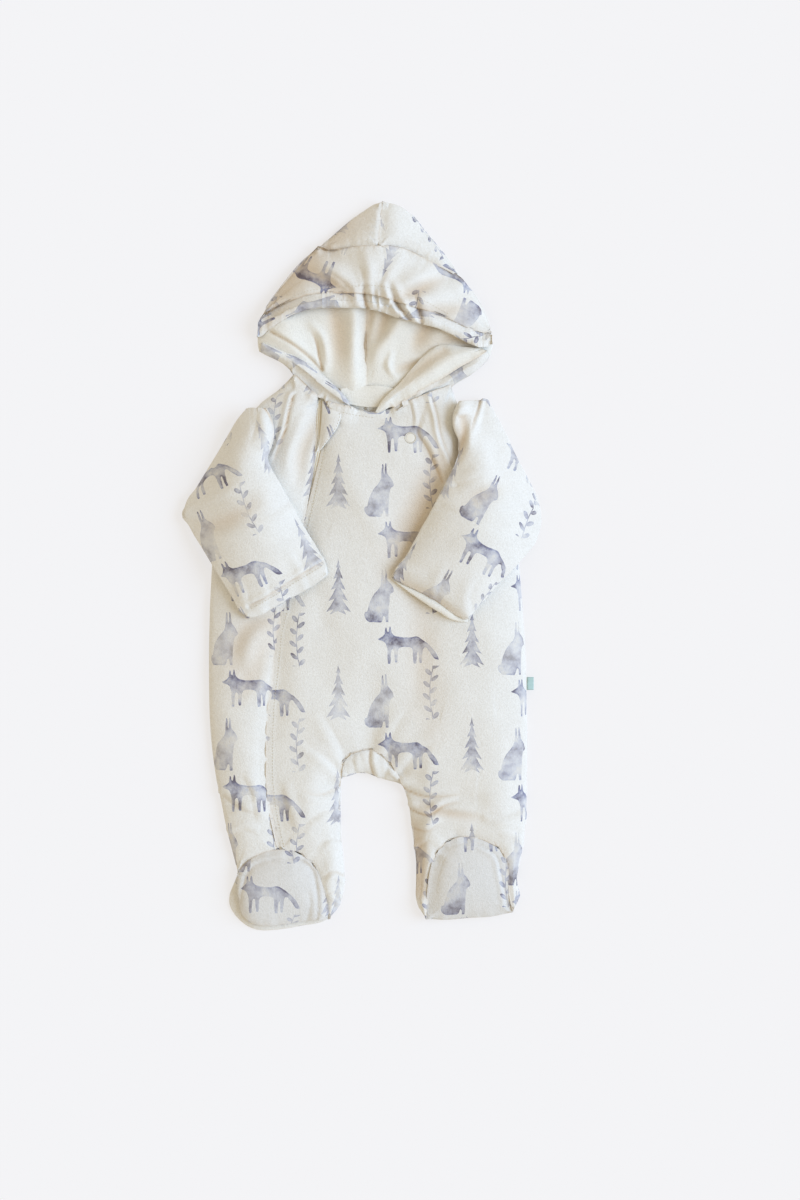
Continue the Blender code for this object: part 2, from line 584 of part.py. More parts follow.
# Hood: the back, the lining in its mouth, and the front that arches over it.
columns_hood = COLUMNS_CROWN_LEFT + COLUMNS_CROWN_RIGHT
brim = spline(BRIM, columns_hood)
mouth_low = spline(MOUTH_LOW, columns_hood)
cross_left = spline(CROSS_SEAM_LEFT, COLUMNS_CROWN_LEFT)
cross_right = spline(CROSS_SEAM_RIGHT, COLUMNS_CROWN_RIGHT)
cross = cross_left + cross_right[1:]
hood_left = spline(HOOD_LEFT, ROWS_HOOD)
hood_right = spline(HOOD_RIGHT, ROWS_HOOD)
mouth = patch(spline(MOUTH_LEFT, ROWS_MOUTH), spline(MOUTH_RIGHT, ROWS_MOUTH), brim, mouth_low)
hood_grid = patch(hood_left, hood_right, brim, cross)
centre = spline(CENTRE_SEAM, ROWS_CROWN)
crown_left = patch(spline(CROWN_LEFT_SIDE, ROWS_CROWN), centre, cross_left,
                   spline(CROWN_LEFT_TOP, COLUMNS_CROWN_LEFT))
crown_right = patch(centre, spline(CROWN_RIGHT_SIDE, ROWS_CROWN), cross_right,
                    spline(CROWN_RIGHT_TOP, COLUMNS_CROWN_RIGHT))
wall("hood_back", Lattice(mouth, hood_grid, crown_left, crown_right), WALL["hood_back"], "printed_velour")

middle_column = columns_hood // 2
under_brim = [hood_grid[1], hood_grid[0]] + mouth[1:]
lining_halves = {"lining_left": slice(0, middle_column + 1), "lining_right": slice(middle_column, None)}
for node, columns in lining_halves.items():
    wall(node, Lattice([line[columns] for line in under_brim]), WALL["lining"], "plain_velour", LINING_FOLDS)
facing = table_patch(NECK_FACING, **STRIPS["facing"])
wall("neck_facing", Lattice(facing), WALL["facing"], "plain_velour", reach=3)
roll = table_patch(ROLL_RIGHT, **STRIPS["roll"])
wall("lining_roll_right", Lattice(roll), WALL["roll"], "plain_velour", reach=3)
lip_left = table_patch(LIP_LEFT, **STRIPS["lip_left"])
wall("lip_left", Lattice(lip_left), WALL["lip"], "printed_velour", reach=4)
lip_right = table_patch(LIP_RIGHT, **STRIPS["lip_right"])
wall("lip_right", Lattice(lip_right), WALL["lip"], "printed_velour", reach=3)

brim_line = spline(BRIM, BRIM_SAMPLES)
ridge_line = spline(RIDGE_LINE, BRIM_SAMPLES)
hood_edge = []
for edge_line in (HOOD_LEFT, CROWN_LEFT_SIDE, CROWN_LEFT_TOP, CROWN_RIGHT_TOP, CROWN_RIGHT_SIDE, HOOD_RIGHT):
    hood_edge += spline(edge_line, CURVE_STEPS)


def mouth_lift(point):
    """The brim stands off the lining, and the hood sinks back to it behind."""
    nearest = min((point - spot).length for spot in brim_line)
    ends = min((point - brim_line[0]).length, (point - brim_line[-1]).length)
    return MOUTH_LIFT * math.exp(-(nearest / MOUTH_LIFT_REACH) ** 2) * min(1.0, ends / MOUTH_LIFT_ENDS)


def hood_lift(point):
    """The hood stands off its lining at the brim, and peaks along its middle."""
    width = RIDGE_HALF_WIDTH
    rise = max(0.0, min(1.0, (point.y - width["y_low"]) / (width["y_high"] - width["y_low"])))
    half_width = width["low"] + (width["high"] - width["low"]) * rise
    away = min((point - spot).length for spot in ridge_line)
    edge = min((point - spot).length for spot in hood_edge)
    brim = min((point - spot).length for spot in brim_line)
    ridge = RIDGE_HEIGHT * math.exp(-(away / half_width) ** 2) * (1 - math.exp(-(edge / RIDGE_EDGE) ** 2))
    ridge *= 1 - (1 - RIDGE_AT_BRIM) * math.exp(-(brim / RIDGE_BRIM) ** 2)
    return mouth_lift(point) + ridge


def gather_wave(point):
    """The elastic draws the casing into short waves."""
    share = (point.x - GATHERS["x_start"]) / (GATHERS["x_end"] - GATHERS["x_start"])
    if not 0 < share < 1:
        return 0.0
    return GATHERS["height"] * math.sin(math.pi * share) * math.sin(2 * math.pi * GATHERS["count"] * share)


casing_table = [(low.x, low.y, high.x, high.y) for low, high in zip(hood_grid[0], hood_grid[1])]
casing_rows = [resample([Vector(row[:2]) for row in casing_table], COLUMNS_CASING),
               resample([Vector(row[2:]) for row in casing_table], COLUMNS_CASING)]
casing_grid = [[low.lerp(high, share) for low, high in zip(*casing_rows)] for share in CASING_ROWS]
wall("hood_casing", Lattice(casing_grid), WALL["casing"], "printed_velour", reach=3, lift=hood_lift,
     extra=gather_wave)
wall("hood_front", Lattice(hood_grid[1:]), WALL["hood_front"], "printed_velour", HOOD_FOLDS, lift=hood_lift)
wall("crown_left", Lattice(crown_left), WALL["crown"], "printed_velour", HOOD_FOLDS, lift=hood_lift)
wall("crown_right", Lattice(crown_right), WALL["crown"], "printed_velour", HOOD_FOLDS, lift=hood_lift)

# Front of the body and the soles lie on the back.
wall("front_side", Lattice(torso_side, leg_side), WALL["front_side"], "printed_velour", BODY_FOLDS)
wall("front_main", Lattice(torso_main, leg_main, leg_right), WALL["front_main"], "printed_velour", BODY_FOLDS)
wall("gusset", Lattice(gusset_grid), WALL["gusset"], "printed_velour")
wall("zip", Lattice(torso_zip, leg_zip), WALL["zip"], "zip_tape")
wall("sole_left", Lattice(foot_left), WALL["sole"], "printed_velour", SOLE_FOLDS)
wall("sole_right", Lattice(foot_right), WALL["sole"], "printed_velour", SOLE_FOLDS)

# Sleeves: the under layer drapes over the body's side, the upper layer lies on it.
sleeve_left = table_patch(SLEEVE_LEFT, ROWS_SLEEVE, COLUMNS_SLEEVE, SLEEVE_LEFT_CUFF)
sleeve_right = table_patch(SLEEVE_RIGHT, ROWS_SLEEVE, COLUMNS_SLEEVE, SLEEVE_RIGHT_CUFF)
lining_edge = spline(SLEEVE_RIGHT_LINING, COLUMNS_SLEEVE)
wall("sleeve_left_under", Lattice(sleeve_left), WALL["sleeve_under"], "printed_velour", reach=5, gap=0.6,
     smooth=2)
wall("sleeve_left_upper", Lattice(sleeve_left), WALL["sleeve_upper"], "printed_velour", SLEEVE_FOLDS)
wall("sleeve_right_under", Lattice(sleeve_right, [sleeve_right[-1], lining_edge]), WALL["sleeve_under"],
     "plain_velour", reach=5, gap=0.6, smooth=2)
wall("sleeve_right_upper", Lattice(sleeve_right), WALL["sleeve_upper"], "printed_velour", SLEEVE_FOLDS)

# Small pieces.
guard = table_patch(GUARD, **STRIPS["guard"])
wall("zip_guard", Lattice(guard), WALL["guard"], "printed_velour", reach=2.5, gap=0.5)
popper_centre = Vector((POPPER["x"], POPPER["y"]))
popper_base = surface_height(popper_centre, POPPER["ring_radius"]) + LAYER_GAP
ring = POPPER["ring_radius"]
inner = ring - POPPER["ring_width"]
cap = POPPER["cap_height"]
floor = POPPER["centre_height"]
foot = ring * POPPER["foot_share"]
crest = ring * POPPER["crest_share"]
dish = inner * POPPER["floor_share"]
popper_profile = ((0, 0), (foot, 0), (ring, cap / 2), (crest, cap), (inner, cap), (dish, floor), (0, floor))
revolve("popper", popper_profile, popper_centre, popper_base, POPPER["steps"], "popper_ring")
label_x = LABEL["x"] + SEAM_HALF_GAP * 2
label_end = label_x + LABEL["length"]
label_z = (LABEL["z"], LABEL["z"] + LABEL["thickness"])
label_corners = [(x, y, z) for z in label_z
                 for x, y in ((label_x, LABEL["y_low"]), (label_end, LABEL["y_low"]),
                              (label_end, LABEL["y_high"]), (label_x, LABEL["y_high"]))]
label_faces = [[3, 2, 1, 0], [4, 5, 6, 7], [0, 1, 5, 4], [1, 2, 6, 5], [2, 3, 7, 6], [3, 0, 4, 7]]
finish_object("label", label_corners, label_faces, "label_tape", lay=False)
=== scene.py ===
import math

import bmesh
import bpy
import numpy as np
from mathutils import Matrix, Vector
from mathutils.bvhtree import BVHTree
from mathutils.kdtree import KDTree


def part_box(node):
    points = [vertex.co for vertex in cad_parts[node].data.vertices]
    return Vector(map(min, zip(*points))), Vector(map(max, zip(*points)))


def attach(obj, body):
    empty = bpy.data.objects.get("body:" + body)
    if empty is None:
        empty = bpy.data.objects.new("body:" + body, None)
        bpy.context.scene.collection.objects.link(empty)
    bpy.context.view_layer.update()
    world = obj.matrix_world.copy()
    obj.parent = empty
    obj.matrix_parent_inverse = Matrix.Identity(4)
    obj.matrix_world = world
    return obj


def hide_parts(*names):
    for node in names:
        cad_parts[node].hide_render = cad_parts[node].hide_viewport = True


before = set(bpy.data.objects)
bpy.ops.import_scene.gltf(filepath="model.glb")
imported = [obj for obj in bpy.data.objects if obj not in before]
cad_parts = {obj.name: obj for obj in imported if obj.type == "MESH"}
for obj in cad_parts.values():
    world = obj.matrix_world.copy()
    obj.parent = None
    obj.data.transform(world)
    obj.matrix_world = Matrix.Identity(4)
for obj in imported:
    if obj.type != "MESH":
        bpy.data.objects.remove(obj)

bpy.context.view_layer.update()

# ------------------------------------------------------------
# The back of the overall, with the backs of the legs and the heels, is one piece of brushed velour over
# wadding. It lies flat on the surface, and shows only round the edges and from behind. The whole garment is
# cut from the same printed cloth, so the cloth and the way a panel is sewn are made here.
# ------------------------------------------------------------
MM = 0.001


def linear(colour):
    """An sRGB hex colour as linear red, green, blue and alpha."""
    channels = [int(colour[place:place + 2], 16) / 255 for place in (1, 3, 5)]
    return [c / 12.92 if c <= 0.04045 else ((c + 0.055) / 1.055) ** 2.4 for c in channels] + [1.0]


def add(tree, kind, inputs=(), operation=None, **settings):
    """Adds a node with its settings. Inputs are values, sockets or nodes, in order or by their names."""
    node = tree.nodes.new("ShaderNode" + kind)
    if operation:
        node.operation = operation
    for name, value in settings.items():
        setattr(node, name, value)
    for name, value in inputs.items() if isinstance(inputs, dict) else enumerate(inputs):
        if isinstance(value, bpy.types.Node):
            value = value.outputs[0]
        if isinstance(value, bpy.types.NodeSocket):
            tree.links.new(value, node.inputs[name])
        elif value is not None:
            node.inputs[name].default_value = value
    return node


def start_material(name, finish):
    """A new material, its nodes and its shader, whose sockets are set by name."""
    material = bpy.data.materials.new(name)
    material.use_nodes = True
    shader = material.node_tree.nodes["Principled BSDF"]
    for socket, value in finish.items():
        shader.inputs[socket].default_value = value
    return material, material.node_tree, shader


# Woodland print, in millimetres: each motif has its width and height, its centre in the repeat, its tone, and
# its upper and lower outlines as x, y in shares of the width and height.
REPEAT_WIDTH = 124
REPEAT_HEIGHT = 98
FOX = {
    "top": ((0, 0.66), (0.05, 0.70), (0.10, 0.76), (0.125, 0.81), (0.14, 0.98), (0.17, 0.86), (0.185, 0.85),
            (0.205, 1.0), (0.235, 0.84), (0.28, 0.76), (0.34, 0.73), (0.44, 0.71), (0.54, 0.715),
            (0.62, 0.73), (0.68, 0.70), (0.73, 0.64), (0.80, 0.56), (0.88, 0.43), (0.95, 0.27), (1, 0.10)),
    "bottom": ((0, 0.67), (0.02, 0.64), (0.07, 0.61), (0.12, 0.57), (0.15, 0.47), (0.165, 0.36), (0.176, 0.0),
               (0.205, 0.0), (0.222, 0.30), (0.25, 0.38), (0.27, 0.36), (0.290, 0.04), (0.317, 0.04),
               (0.332, 0.34), (0.37, 0.43), (0.45, 0.45), (0.52, 0.44), (0.565, 0.38), (0.595, 0.0),
               (0.625, 0.0), (0.636, 0.22), (0.66, 0.32), (0.684, 0.02), (0.713, 0.02), (0.723, 0.24),
               (0.74, 0.40), (0.77, 0.44), (0.82, 0.36), (0.88, 0.22), (0.94, 0.12), (1, 0.115)),
}
HARE = {
    "top": ((0, 0.13), (0.04, 0.19), (0.10, 0.20), (0.15, 0.30), (0.22, 0.42), (0.32, 0.52), (0.44, 0.60),
            (0.52, 0.66), (0.56, 0.72), (0.58, 0.90), (0.605, 0.99), (0.64, 0.93), (0.665, 0.79),
            (0.69, 0.92), (0.71, 1.0), (0.745, 0.94), (0.765, 0.81), (0.81, 0.765), (0.88, 0.72),
            (0.96, 0.64), (1, 0.57)),
    "bottom": ((0, 0.15), (0.03, 0.08), (0.10, 0.03), (0.20, 0.0), (0.55, 0.0), (0.60, 0.04), (0.66, 0.12),
               (0.70, 0.10), (0.72, 0.0), (0.80, 0.0), (0.81, 0.16), (0.825, 0.34), (0.85, 0.47),
               (0.89, 0.53), (0.95, 0.555), (1, 0.59)),
}
MOTIFS = (
    {"outline": HARE, "width": 28, "height": 50, "x": 17, "y": 71, "tone": 0.74},
    {"outline": FOX, "width": 58, "height": 35, "x": 44, "y": 25, "tone": 1.0},
)
FIR = {"x": 103, "y": 30, "height": 56, "tiers": 6, "half_width": 14, "droop": 0.42,
       "step_in": 0.62, "trunk": 0.1, "tone": 0.62}
SPRIG = {"x": 67, "y": 79, "height": 50, "spacing": 11.5, "leaf": 6.6, "leaf_half": 2.5, "lift": 0.6,
         "bow": 3.0, "stem": 0.6, "tone": 0.66}
EDGE = 0.45            # over which a motif's edge soaks into the nap
POOL = 2.2             # how far the wash is darker along its edge
WATER = 15             # spacing of the light and dark places in the wash
WOBBLE = 1.5           # how far the wash strays from its outline
WOBBLE_SPACING = 7     # over which it strays one way
BELLY = 0.42           # the wash is palest at this share of an animal's height
PALE_BELLY = 0.66      # and there this much of its tone is left


def outline_curve(tree, share, table):
    """A height read from a table of x, y along a motif."""
    node = add(tree, "FloatCurve", {"Value": share})
    curve = node.mapping.curves[0]
    curve.points[0].location = table[0]
    curve.points[1].location = table[-1]
    for point in table[1:-1]:
        curve.points.new(*point)
    for point in curve.points:
        point.handle_type = "AUTO_CLAMPED"
    node.mapping.update()
    return node


def woodland_print():
    """A group that turns a place on the flat cloth, in millimetres, into its depth in a motif and a tone."""
    tree = bpy.data.node_groups.new("woodland_print", "ShaderNodeTree")
    tree.interface.new_socket("Place", in_out="INPUT", socket_type="NodeSocketVector")
    tree.interface.new_socket("Depth", in_out="OUTPUT", socket_type="NodeSocketFloat")
    tree.interface.new_socket("Tone", in_out="OUTPUT", socket_type="NodeSocketFloat")
    entry = tree.nodes.new("NodeGroupInput")
    leave = tree.nodes.new("NodeGroupOutput")
    stray = add(tree, "TexNoise", {"Vector": entry, "Scale": 1 / WOBBLE_SPACING, "Detail": 2})
    centred = add(tree, "VectorMath", (stray.outputs["Color"], (0.5, 0.5, 0.5)), "SUBTRACT")
    amount = add(tree, "VectorMath", (centred, (WOBBLE, WOBBLE, 0)), "MULTIPLY")
    place = add(tree, "SeparateXYZ", (add(tree, "VectorMath", (entry, amount), "ADD"),))
    column = add(tree, "Math", (place.outputs["X"], REPEAT_WIDTH), "DIVIDE")
    odd = add(tree, "Math", (add(tree, "Math", (column,), "FLOOR"), 2), "FLOORED_MODULO")
    drop = add(tree, "Math", (odd, REPEAT_HEIGHT / 2), "MULTIPLY")
    across = add(tree, "Math", (place.outputs["X"], REPEAT_WIDTH), "FLOORED_MODULO")
    along = add(tree, "Math", (place.outputs["Y"], drop), "ADD")
    depth = None
    tone = None

    def local(motif):
        """The place from a motif's centre."""
        x = add(tree, "Math", (across, motif["x"]), "SUBTRACT")
        shifted = add(tree, "Math", (along, motif["y"]), "SUBTRACT")
        y = add(tree, "Math", (shifted, REPEAT_HEIGHT / 2, -REPEAT_HEIGHT / 2), "WRAP")
        return x, y

    def gather(inside, strength):
        """Adds a motif to those before it."""
        nonlocal depth, tone
        covered = add(tree, "Math", (inside, 0.0), "GREATER_THAN")
        shade = add(tree, "Math", (covered, strength), "MULTIPLY")
        depth = inside if depth is None else add(tree, "Math", (depth, inside), "MAXIMUM")
        tone = shade if tone is None else add(tree, "Math", (tone, shade), "MAXIMUM")

    for motif in MOTIFS:
        x, y = local(motif)
        share = add(tree, "Math", (x, 1 / motif["width"], 0.5), "MULTIPLY_ADD")
        height = add(tree, "Math", (y, 1 / motif["height"], 0.5), "MULTIPLY_ADD")
        upper = outline_curve(tree, share, motif["outline"]["top"])
        lower = outline_curve(tree, share, motif["outline"]["bottom"])
        below = add(tree, "Math", (upper, height), "SUBTRACT")
        above = add(tree, "Math", (height, lower), "SUBTRACT")
        inside = add(tree, "Math", (below, above), "MINIMUM")
        over_belly = add(tree, "Math", (height, BELLY), "SUBTRACT")
        from_belly = add(tree, "Math", (over_belly,), "ABSOLUTE")
        wash = add(tree, "Math", (from_belly, motif["tone"], motif["tone"] * PALE_BELLY), "MULTIPLY_ADD")
        gather(add(tree, "Math", (inside, motif["height"]), "MULTIPLY"), wash)

    # A fir is a stack of tiers that droop outward and narrow toward the tip.
    x, y = local(FIR)
    side = add(tree, "Math", (x,), "ABSOLUTE")
    drooped = add(tree, "Math", (side, FIR["droop"], y), "MULTIPLY_ADD")
    height = add(tree, "Math", (drooped, 1 / FIR["height"], 0.5), "MULTIPLY_ADD")
    tier = add(tree, "Math", (height, FIR["tiers"]), "MULTIPLY")
    up_tier = add(tree, "Math", (tier,), "FRACT")
    climb = add(tree, "Math", (up_tier, -FIR["step_in"], 1), "MULTIPLY_ADD")
    taper = add(tree, "Math", (height, -FIR["half_width"], FIR["half_width"]), "MULTIPLY_ADD")
    reach = add(tree, "Math", (taper, climb), "MULTIPLY")
    crown = add(tree, "Math", (reach, side), "SUBTRACT")
    above_ground = add(tree, "Math", (height, FIR["trunk"]), "GREATER_THAN")
    branches = add(tree, "Math", (crown, above_ground), "MULTIPLY")
    gather(branches, FIR["tone"])

    # A sprig is a thin bowed stem with leaves that point up it, on its left and right in turn.
    straight, y = local(SPRIG)
    level = add(tree, "Math", (y, 1 / SPRIG["height"], 0.5), "MULTIPLY_ADD")
    within = add(tree, "Math", (level, 0.5, 0.5), "COMPARE")
    swing = add(tree, "Math", (add(tree, "Math", (level, math.pi), "MULTIPLY"),), "SINE")
    x = add(tree, "Math", (swing, SPRIG["bow"], straight), "MULTIPLY_ADD")
    side = add(tree, "Math", (x,), "ABSOLUTE")
    on_left = add(tree, "Math", (x, 0), "LESS_THAN")
    lifted = add(tree, "Math", (side, -SPRIG["lift"], y), "MULTIPLY_ADD")
    staggered = add(tree, "Math", (on_left, SPRIG["spacing"] / 2, lifted), "MULTIPLY_ADD")
    along_stem = add(tree, "Math", (staggered, SPRIG["spacing"] / 2, -SPRIG["spacing"] / 2), "WRAP")
    off_middle = add(tree, "Math", (along_stem,), "ABSOLUTE")
    share = add(tree, "Math", (side, 1 / SPRIG["leaf"]), "MULTIPLY")
    rest = add(tree, "Math", (1, share), "SUBTRACT")
    round_leaf = add(tree, "Math", (add(tree, "Math", (share, rest), "MULTIPLY"), 0), "MAXIMUM")
    half_leaf = add(tree, "Math", (add(tree, "Math", (round_leaf,), "SQRT"), 2 * SPRIG["leaf_half"]),
                    "MULTIPLY")
    leaf = add(tree, "Math", (half_leaf, off_middle), "SUBTRACT")
    stem = add(tree, "Math", (SPRIG["stem"], side), "SUBTRACT")
    blade = add(tree, "Math", (leaf, stem), "MAXIMUM")
    gather(add(tree, "Math", (blade, within), "MULTIPLY"), SPRIG["tone"])

    tree.links.new(depth.outputs[0], leave.inputs["Depth"])
    tree.links.new(tone.outputs[0], leave.inputs["Tone"])
    return tree


NAP = 2.2              # clumps of the brushed pile; the real ones are under 1 mm, too fine to show here
NAP_FINE = 1.1         # single tufts among them, drawn as coarse
NAP_HEIGHT = 0.0009    # how deep the nap reads, in metres
MOTTLE = 14            # patches where the pile lies another way
FADE = 75              # spacing of the darker and paler places of the print
PAINTED_SHADE_COLOUR = "#dcb884"    # painted shade, warm and golden, in creases, beside seams and in dips
INK = ((0.35, "#6b6673"), (0.46, "#84869d"), (0.57, "#9ba1b4"), (0.68, "#a8a29e"))


def velour(name, cloth, shade, printed):
    """Cotton velour, knitted and brushed: a matt, warm pile with a soft light rim and faint patches, and
    painted warm shade in its creases and dips.
    """
    material, tree, shader = start_material(name, {
        "Roughness": 0.94, "Specular IOR Level": 0.18, "Sheen Weight": 0.22, "Sheen Roughness": 0.5,
        "Sheen Tint": linear("#fff6e6")})
    body = add(tree, "TexCoord")
    clumps = add(tree, "TexNoise", {"Vector": body.outputs["Object"], "Scale": 1000 / NAP, "Detail": 3,
                                    "Roughness": 0.65})
    fine = add(tree, "TexNoise", {"Vector": body.outputs["Object"], "Scale": 1000 / NAP_FINE, "Detail": 1})
    patches = add(tree, "TexNoise", {"Vector": body.outputs["Object"], "Scale": 1000 / MOTTLE, "Detail": 3})
    pile = add(tree, "Math", (clumps, 0.6, add(tree, "Math", (fine, 0.4), "MULTIPLY")),
               "MULTIPLY_ADD")
    lie = add(tree, "Math", (patches, 0.2, add(tree, "Math", (pile, 0.8), "MULTIPLY")),
              "MULTIPLY_ADD")
    spread = add(tree, "MapRange", {"Value": lie, "From Min": 0.36, "From Max": 0.64})
    ground = add(tree, "Mix", {"Factor": spread, "A": linear(shade), "B": linear(cloth)}, data_type="RGBA")
    colour = ground.outputs["Result"]
    if printed:
        cut = add(tree, "Attribute", attribute_name="cut")
        place = add(tree, "VectorMath", {0: cut.outputs["Vector"], "Scale": 1000}, "SCALE")
        motifs = tree.nodes.new("ShaderNodeGroup")
        motifs.node_tree = bpy.data.node_groups.get("woodland_print") or woodland_print()
        tree.links.new(place.outputs[0], motifs.inputs["Place"])
        depth = motifs.outputs["Depth"]
        water = add(tree, "TexNoise", {"Vector": place, "Scale": 1 / WATER, "Detail": 4, "Roughness": 0.6})
        ink = add(tree, "ValToRGB", (water,))
        ink.color_ramp.elements.remove(ink.color_ramp.elements[1])
        ink.color_ramp.elements[0].position = INK[0][0]
        for share, _ in INK[1:]:
            ink.color_ramp.elements.new(share)
        for point, (_, wash) in zip(ink.color_ramp.elements, INK):
            point.color = linear(wash)
        cover = add(tree, "MapRange", {"Value": depth, "From Min": 0.0, "From Max": EDGE})
        pool = add(tree, "MapRange", {"Value": depth, "From Min": 0.2, "From Max": POOL, "To Min": 1.25,
                                      "To Max": 0.86})
        tide = add(tree, "MapRange", {"Value": water, "From Min": 0.34, "From Max": 0.64, "To Min": 1.45,
                                      "To Max": 0.45})
        slow = add(tree, "TexNoise", {"Vector": place, "Scale": 1 / FADE, "Detail": 0})
        faded = add(tree, "MapRange", {"Value": slow, "From Min": 0.35, "From Max": 0.65, "To Min": 0.78,
                                       "To Max": 1.12})
        speck = add(tree, "MapRange", {"Value": pile, "From Min": 0.38, "From Max": 0.62, "To Min": 0.78,
                                       "To Max": 1.0})
        strength = motifs.outputs["Tone"]
        for share in (pool, tide, faded, speck):
            strength = add(tree, "Math", (strength, share), "MULTIPLY")
        strength = add(tree, "Math", (strength, cover), "MULTIPLY", use_clamp=True)
        dyed = add(tree, "Mix", {"Factor": strength, "A": colour, "B": ink.outputs["Color"]},
                   data_type="RGBA")
        colour = dyed.outputs["Result"]
    # Painted shade: the colour is darkened to a warm gold in creases, beside seams and in dips.
    painted_shade = add(tree, "Attribute", attribute_name="painted_shade")
    painted_shading = add(tree, "Mix", {"Factor": painted_shade.outputs["Fac"], "A": colour, "B": linear(PAINTED_SHADE_COLOUR)},
                 data_type="RGBA", blend_type="MULTIPLY")
    bump = add(tree, "Bump", {"Height": pile, "Strength": 0.6, "Distance": NAP_HEIGHT})
    tree.links.new(painted_shading.outputs["Result"], shader.inputs["Base Color"])
    tree.links.new(bump.outputs["Normal"], shader.inputs["Normal"])
    return material


printed_velour = velour("brushed_velour_printed", "#e5e3dc", "#dad7cf", True)
plain_velour = velour("brushed_velour_plain", "#e9e6dc", "#dedbd1", False)

WELD = 0.00001             # metres within which two points of a solid are one
FLAT_ENOUGH = 0.9          # radians between two triangles that make one cell
RIM_STEP = 0.7             # spacing of the places where a panel's rim is known, in millimetres
RIM_EVEN = 4               # over which its height is evened out along the rim
CRESTS = 12                # points beyond a seam whose mean height it is measured from
SEAM_CLOSE = 1.3           # a panel is drawn to its seam over this distance, so that seams are tight
SEAM_LAP = 0.9             # and this far past it, so that nothing shows between
SEAM_DEPTH = 1.1           # a sewn edge lies this far below the cloth beside it
SEAM_BAND = 5.5            # and it rises to it within this distance
CREST_BAND = SEAM_BAND * 1.6           # which is measured up to here
EDGE_FACES, CREST_FACES = -0.3, 0.8    # how far up the points of the edge, and of that cloth, face at least
FACES_UP = 0.5             # points that face up more than this are on a panel's upper side
SEAM_SHADE = 1.1           # how far painted shade reaches beside a seam and across a deep crease
SEAM_PAINTED_SHADE = 0.35        # and how much
CREASE_SHADE_CUT = (1.0, 3.2)   # depths of crease at which painted shade starts, and is full
FULL_SHADE_DEPTH = 9.0          # and how deep a dip is where painted shade is full
SEAM_STEADY = 4.5          # this near its seam a panel swells straight up only, so that the seam runs true
SEWN_NEAR, SEWN_FAR = 4.6, 6.4         # rims this near are sewn together, and this far apart they aren't
LEVEL_REACH = 7            # a panel's height at its seam is taken from this near
LEVEL_BAND = 11            # over which two panels come to one height at their seam
CORNER = math.radians(38)  # a rim that turns more than this keeps its corner
CORNER_REACH = 1.7         # with the points this near to it
SHARP_CORNER, SOFT_CORNER = 0.95, 0.5  # how sharp it stays where it meets another panel, and where it doesn't
CURVE_STEPS = 8            # parts of a smooth curve between two of its points
SHORT = 0.05               # a direction is taken over no less than this
FINE_PUCKERS = {"spacing": 0.55, "height": 0.5}    # among the others, in shares of theirs
FOLD_SPAN, RIDGE_SPAN = 3.2, 2.6       # how many widths a fold and a ridge reach from their lines
FOLD_FADE = {"start": 0.5, "end": 0.6}             # shares of a fold over which an end runs out
BULGE = {"at": 0.85, "width": 0.8}     # the raised side of a fold, in widths of it
SLIT = {"width": 0.4, "power": 1.4}    # its cut, whose sides are steeper
IRON_MEAN = 40             # points whose mean gives the height of a wave
SCATTER = (374761393, 668265263, 974634777, 1274126177)    # large numbers that turn a place into a random one
SEWN_TOGETHER = (("back", "hood_back"),
                 ("front_main", "front_side", "gusset", "sole_left", "sole_right", "lip_left", "lip_right"),
                 ("hood_front", "hood_casing", "crown_left", "crown_right"), ("lining_left", "lining_right"),
                 ("lining_roll_right", "lip_right"))


def hills(place, size, seed):
    """Smooth random height between -1 and 1 at flat places, with hills about one size apart."""
    cell = np.floor(place / size).astype(np.int64)
    part = place / size - cell
    part = part * part * (3 - 2 * part)
    corners = []
    for step_x, step_y in ((0, 0), (1, 0), (0, 1), (1, 1)):
        key = (cell[:, 0] + step_x) * SCATTER[0] + (cell[:, 1] + step_y) * SCATTER[1] + seed * SCATTER[2]
        key = (key ^ (key >> 13)) * SCATTER[3]
        corners.append(((key ^ (key >> 16)) & 0xFFFF) / 32767.5 - 1)
    low = corners[0] + (corners[1] - corners[0]) * part[:, 0]
    high = corners[2] + (corners[3] - corners[2]) * part[:, 0]
    return low + (high - low) * part[:, 1]


def smooth_line(points):
    """A smooth curve through a few points, as an array."""
    points = np.array(points, float)
    if len(points) == 2:
        return points
    last = len(points) - 1
    line = []
    for index in range(last):
        before, start, end, after = (points[max(0, min(last, index + step))] for step in (-1, 0, 1, 2))
        for step in range(CURVE_STEPS):
            t = step / CURVE_STEPS
            line.append(0.5 * (2 * start + (end - before) * t
                               + (2 * before - 5 * start + 4 * end - after) * t * t
                               + (3 * start - before - 3 * end + after) * t ** 3))
    line.append(points[-1])
    return np.array(line)


def solid_and_rim(node):
    """A node's solid, welded and in four-sided cells where it can be, places on its rim, and its corners."""
    solid = bmesh.new()
    solid.from_mesh(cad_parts[node].data)
    bmesh.ops.remove_doubles(solid, verts=solid.verts, dist=WELD)
    bmesh.ops.join_triangles(solid, faces=solid.faces, angle_face_threshold=FLAT_ENOUGH,
                             angle_shape_threshold=math.pi)
    solid.normal_update()
    solid.verts.index_update()
    rim = []
    beside = {}
    tops = np.array([vertex.co / MM for vertex in solid.verts])
    for edge in solid.edges:
        if edge.link_faces[0].normal.z * edge.link_faces[1].normal.z < 0:
            start, end = edge.verts[0].co / MM, edge.verts[1].co / MM
            steps = max(1, round((end - start).length / RIM_STEP))
            rim += [start.lerp(end, step / steps).to_2d() for step in range(steps)]
            for here, there in (edge.verts, reversed(edge.verts)):
                beside.setdefault(here, []).append((there.co - here.co).to_2d())
    corners = [vertex.co / MM for vertex, ways in beside.items()
               if len(ways) == 2 and math.pi - ways[0].angle(ways[1]) > CORNER]
    levels = []
    for place in rim:
        gaps = np.hypot(tops[:, 0] - place.x, tops[:, 1] - place.y)
        levels.append(tops[gaps < gaps.min() + LEVEL_REACH, 2].max())
    return solid, [Vector((place.x, place.y, level)) for place, level in zip(rim, levels)], corners


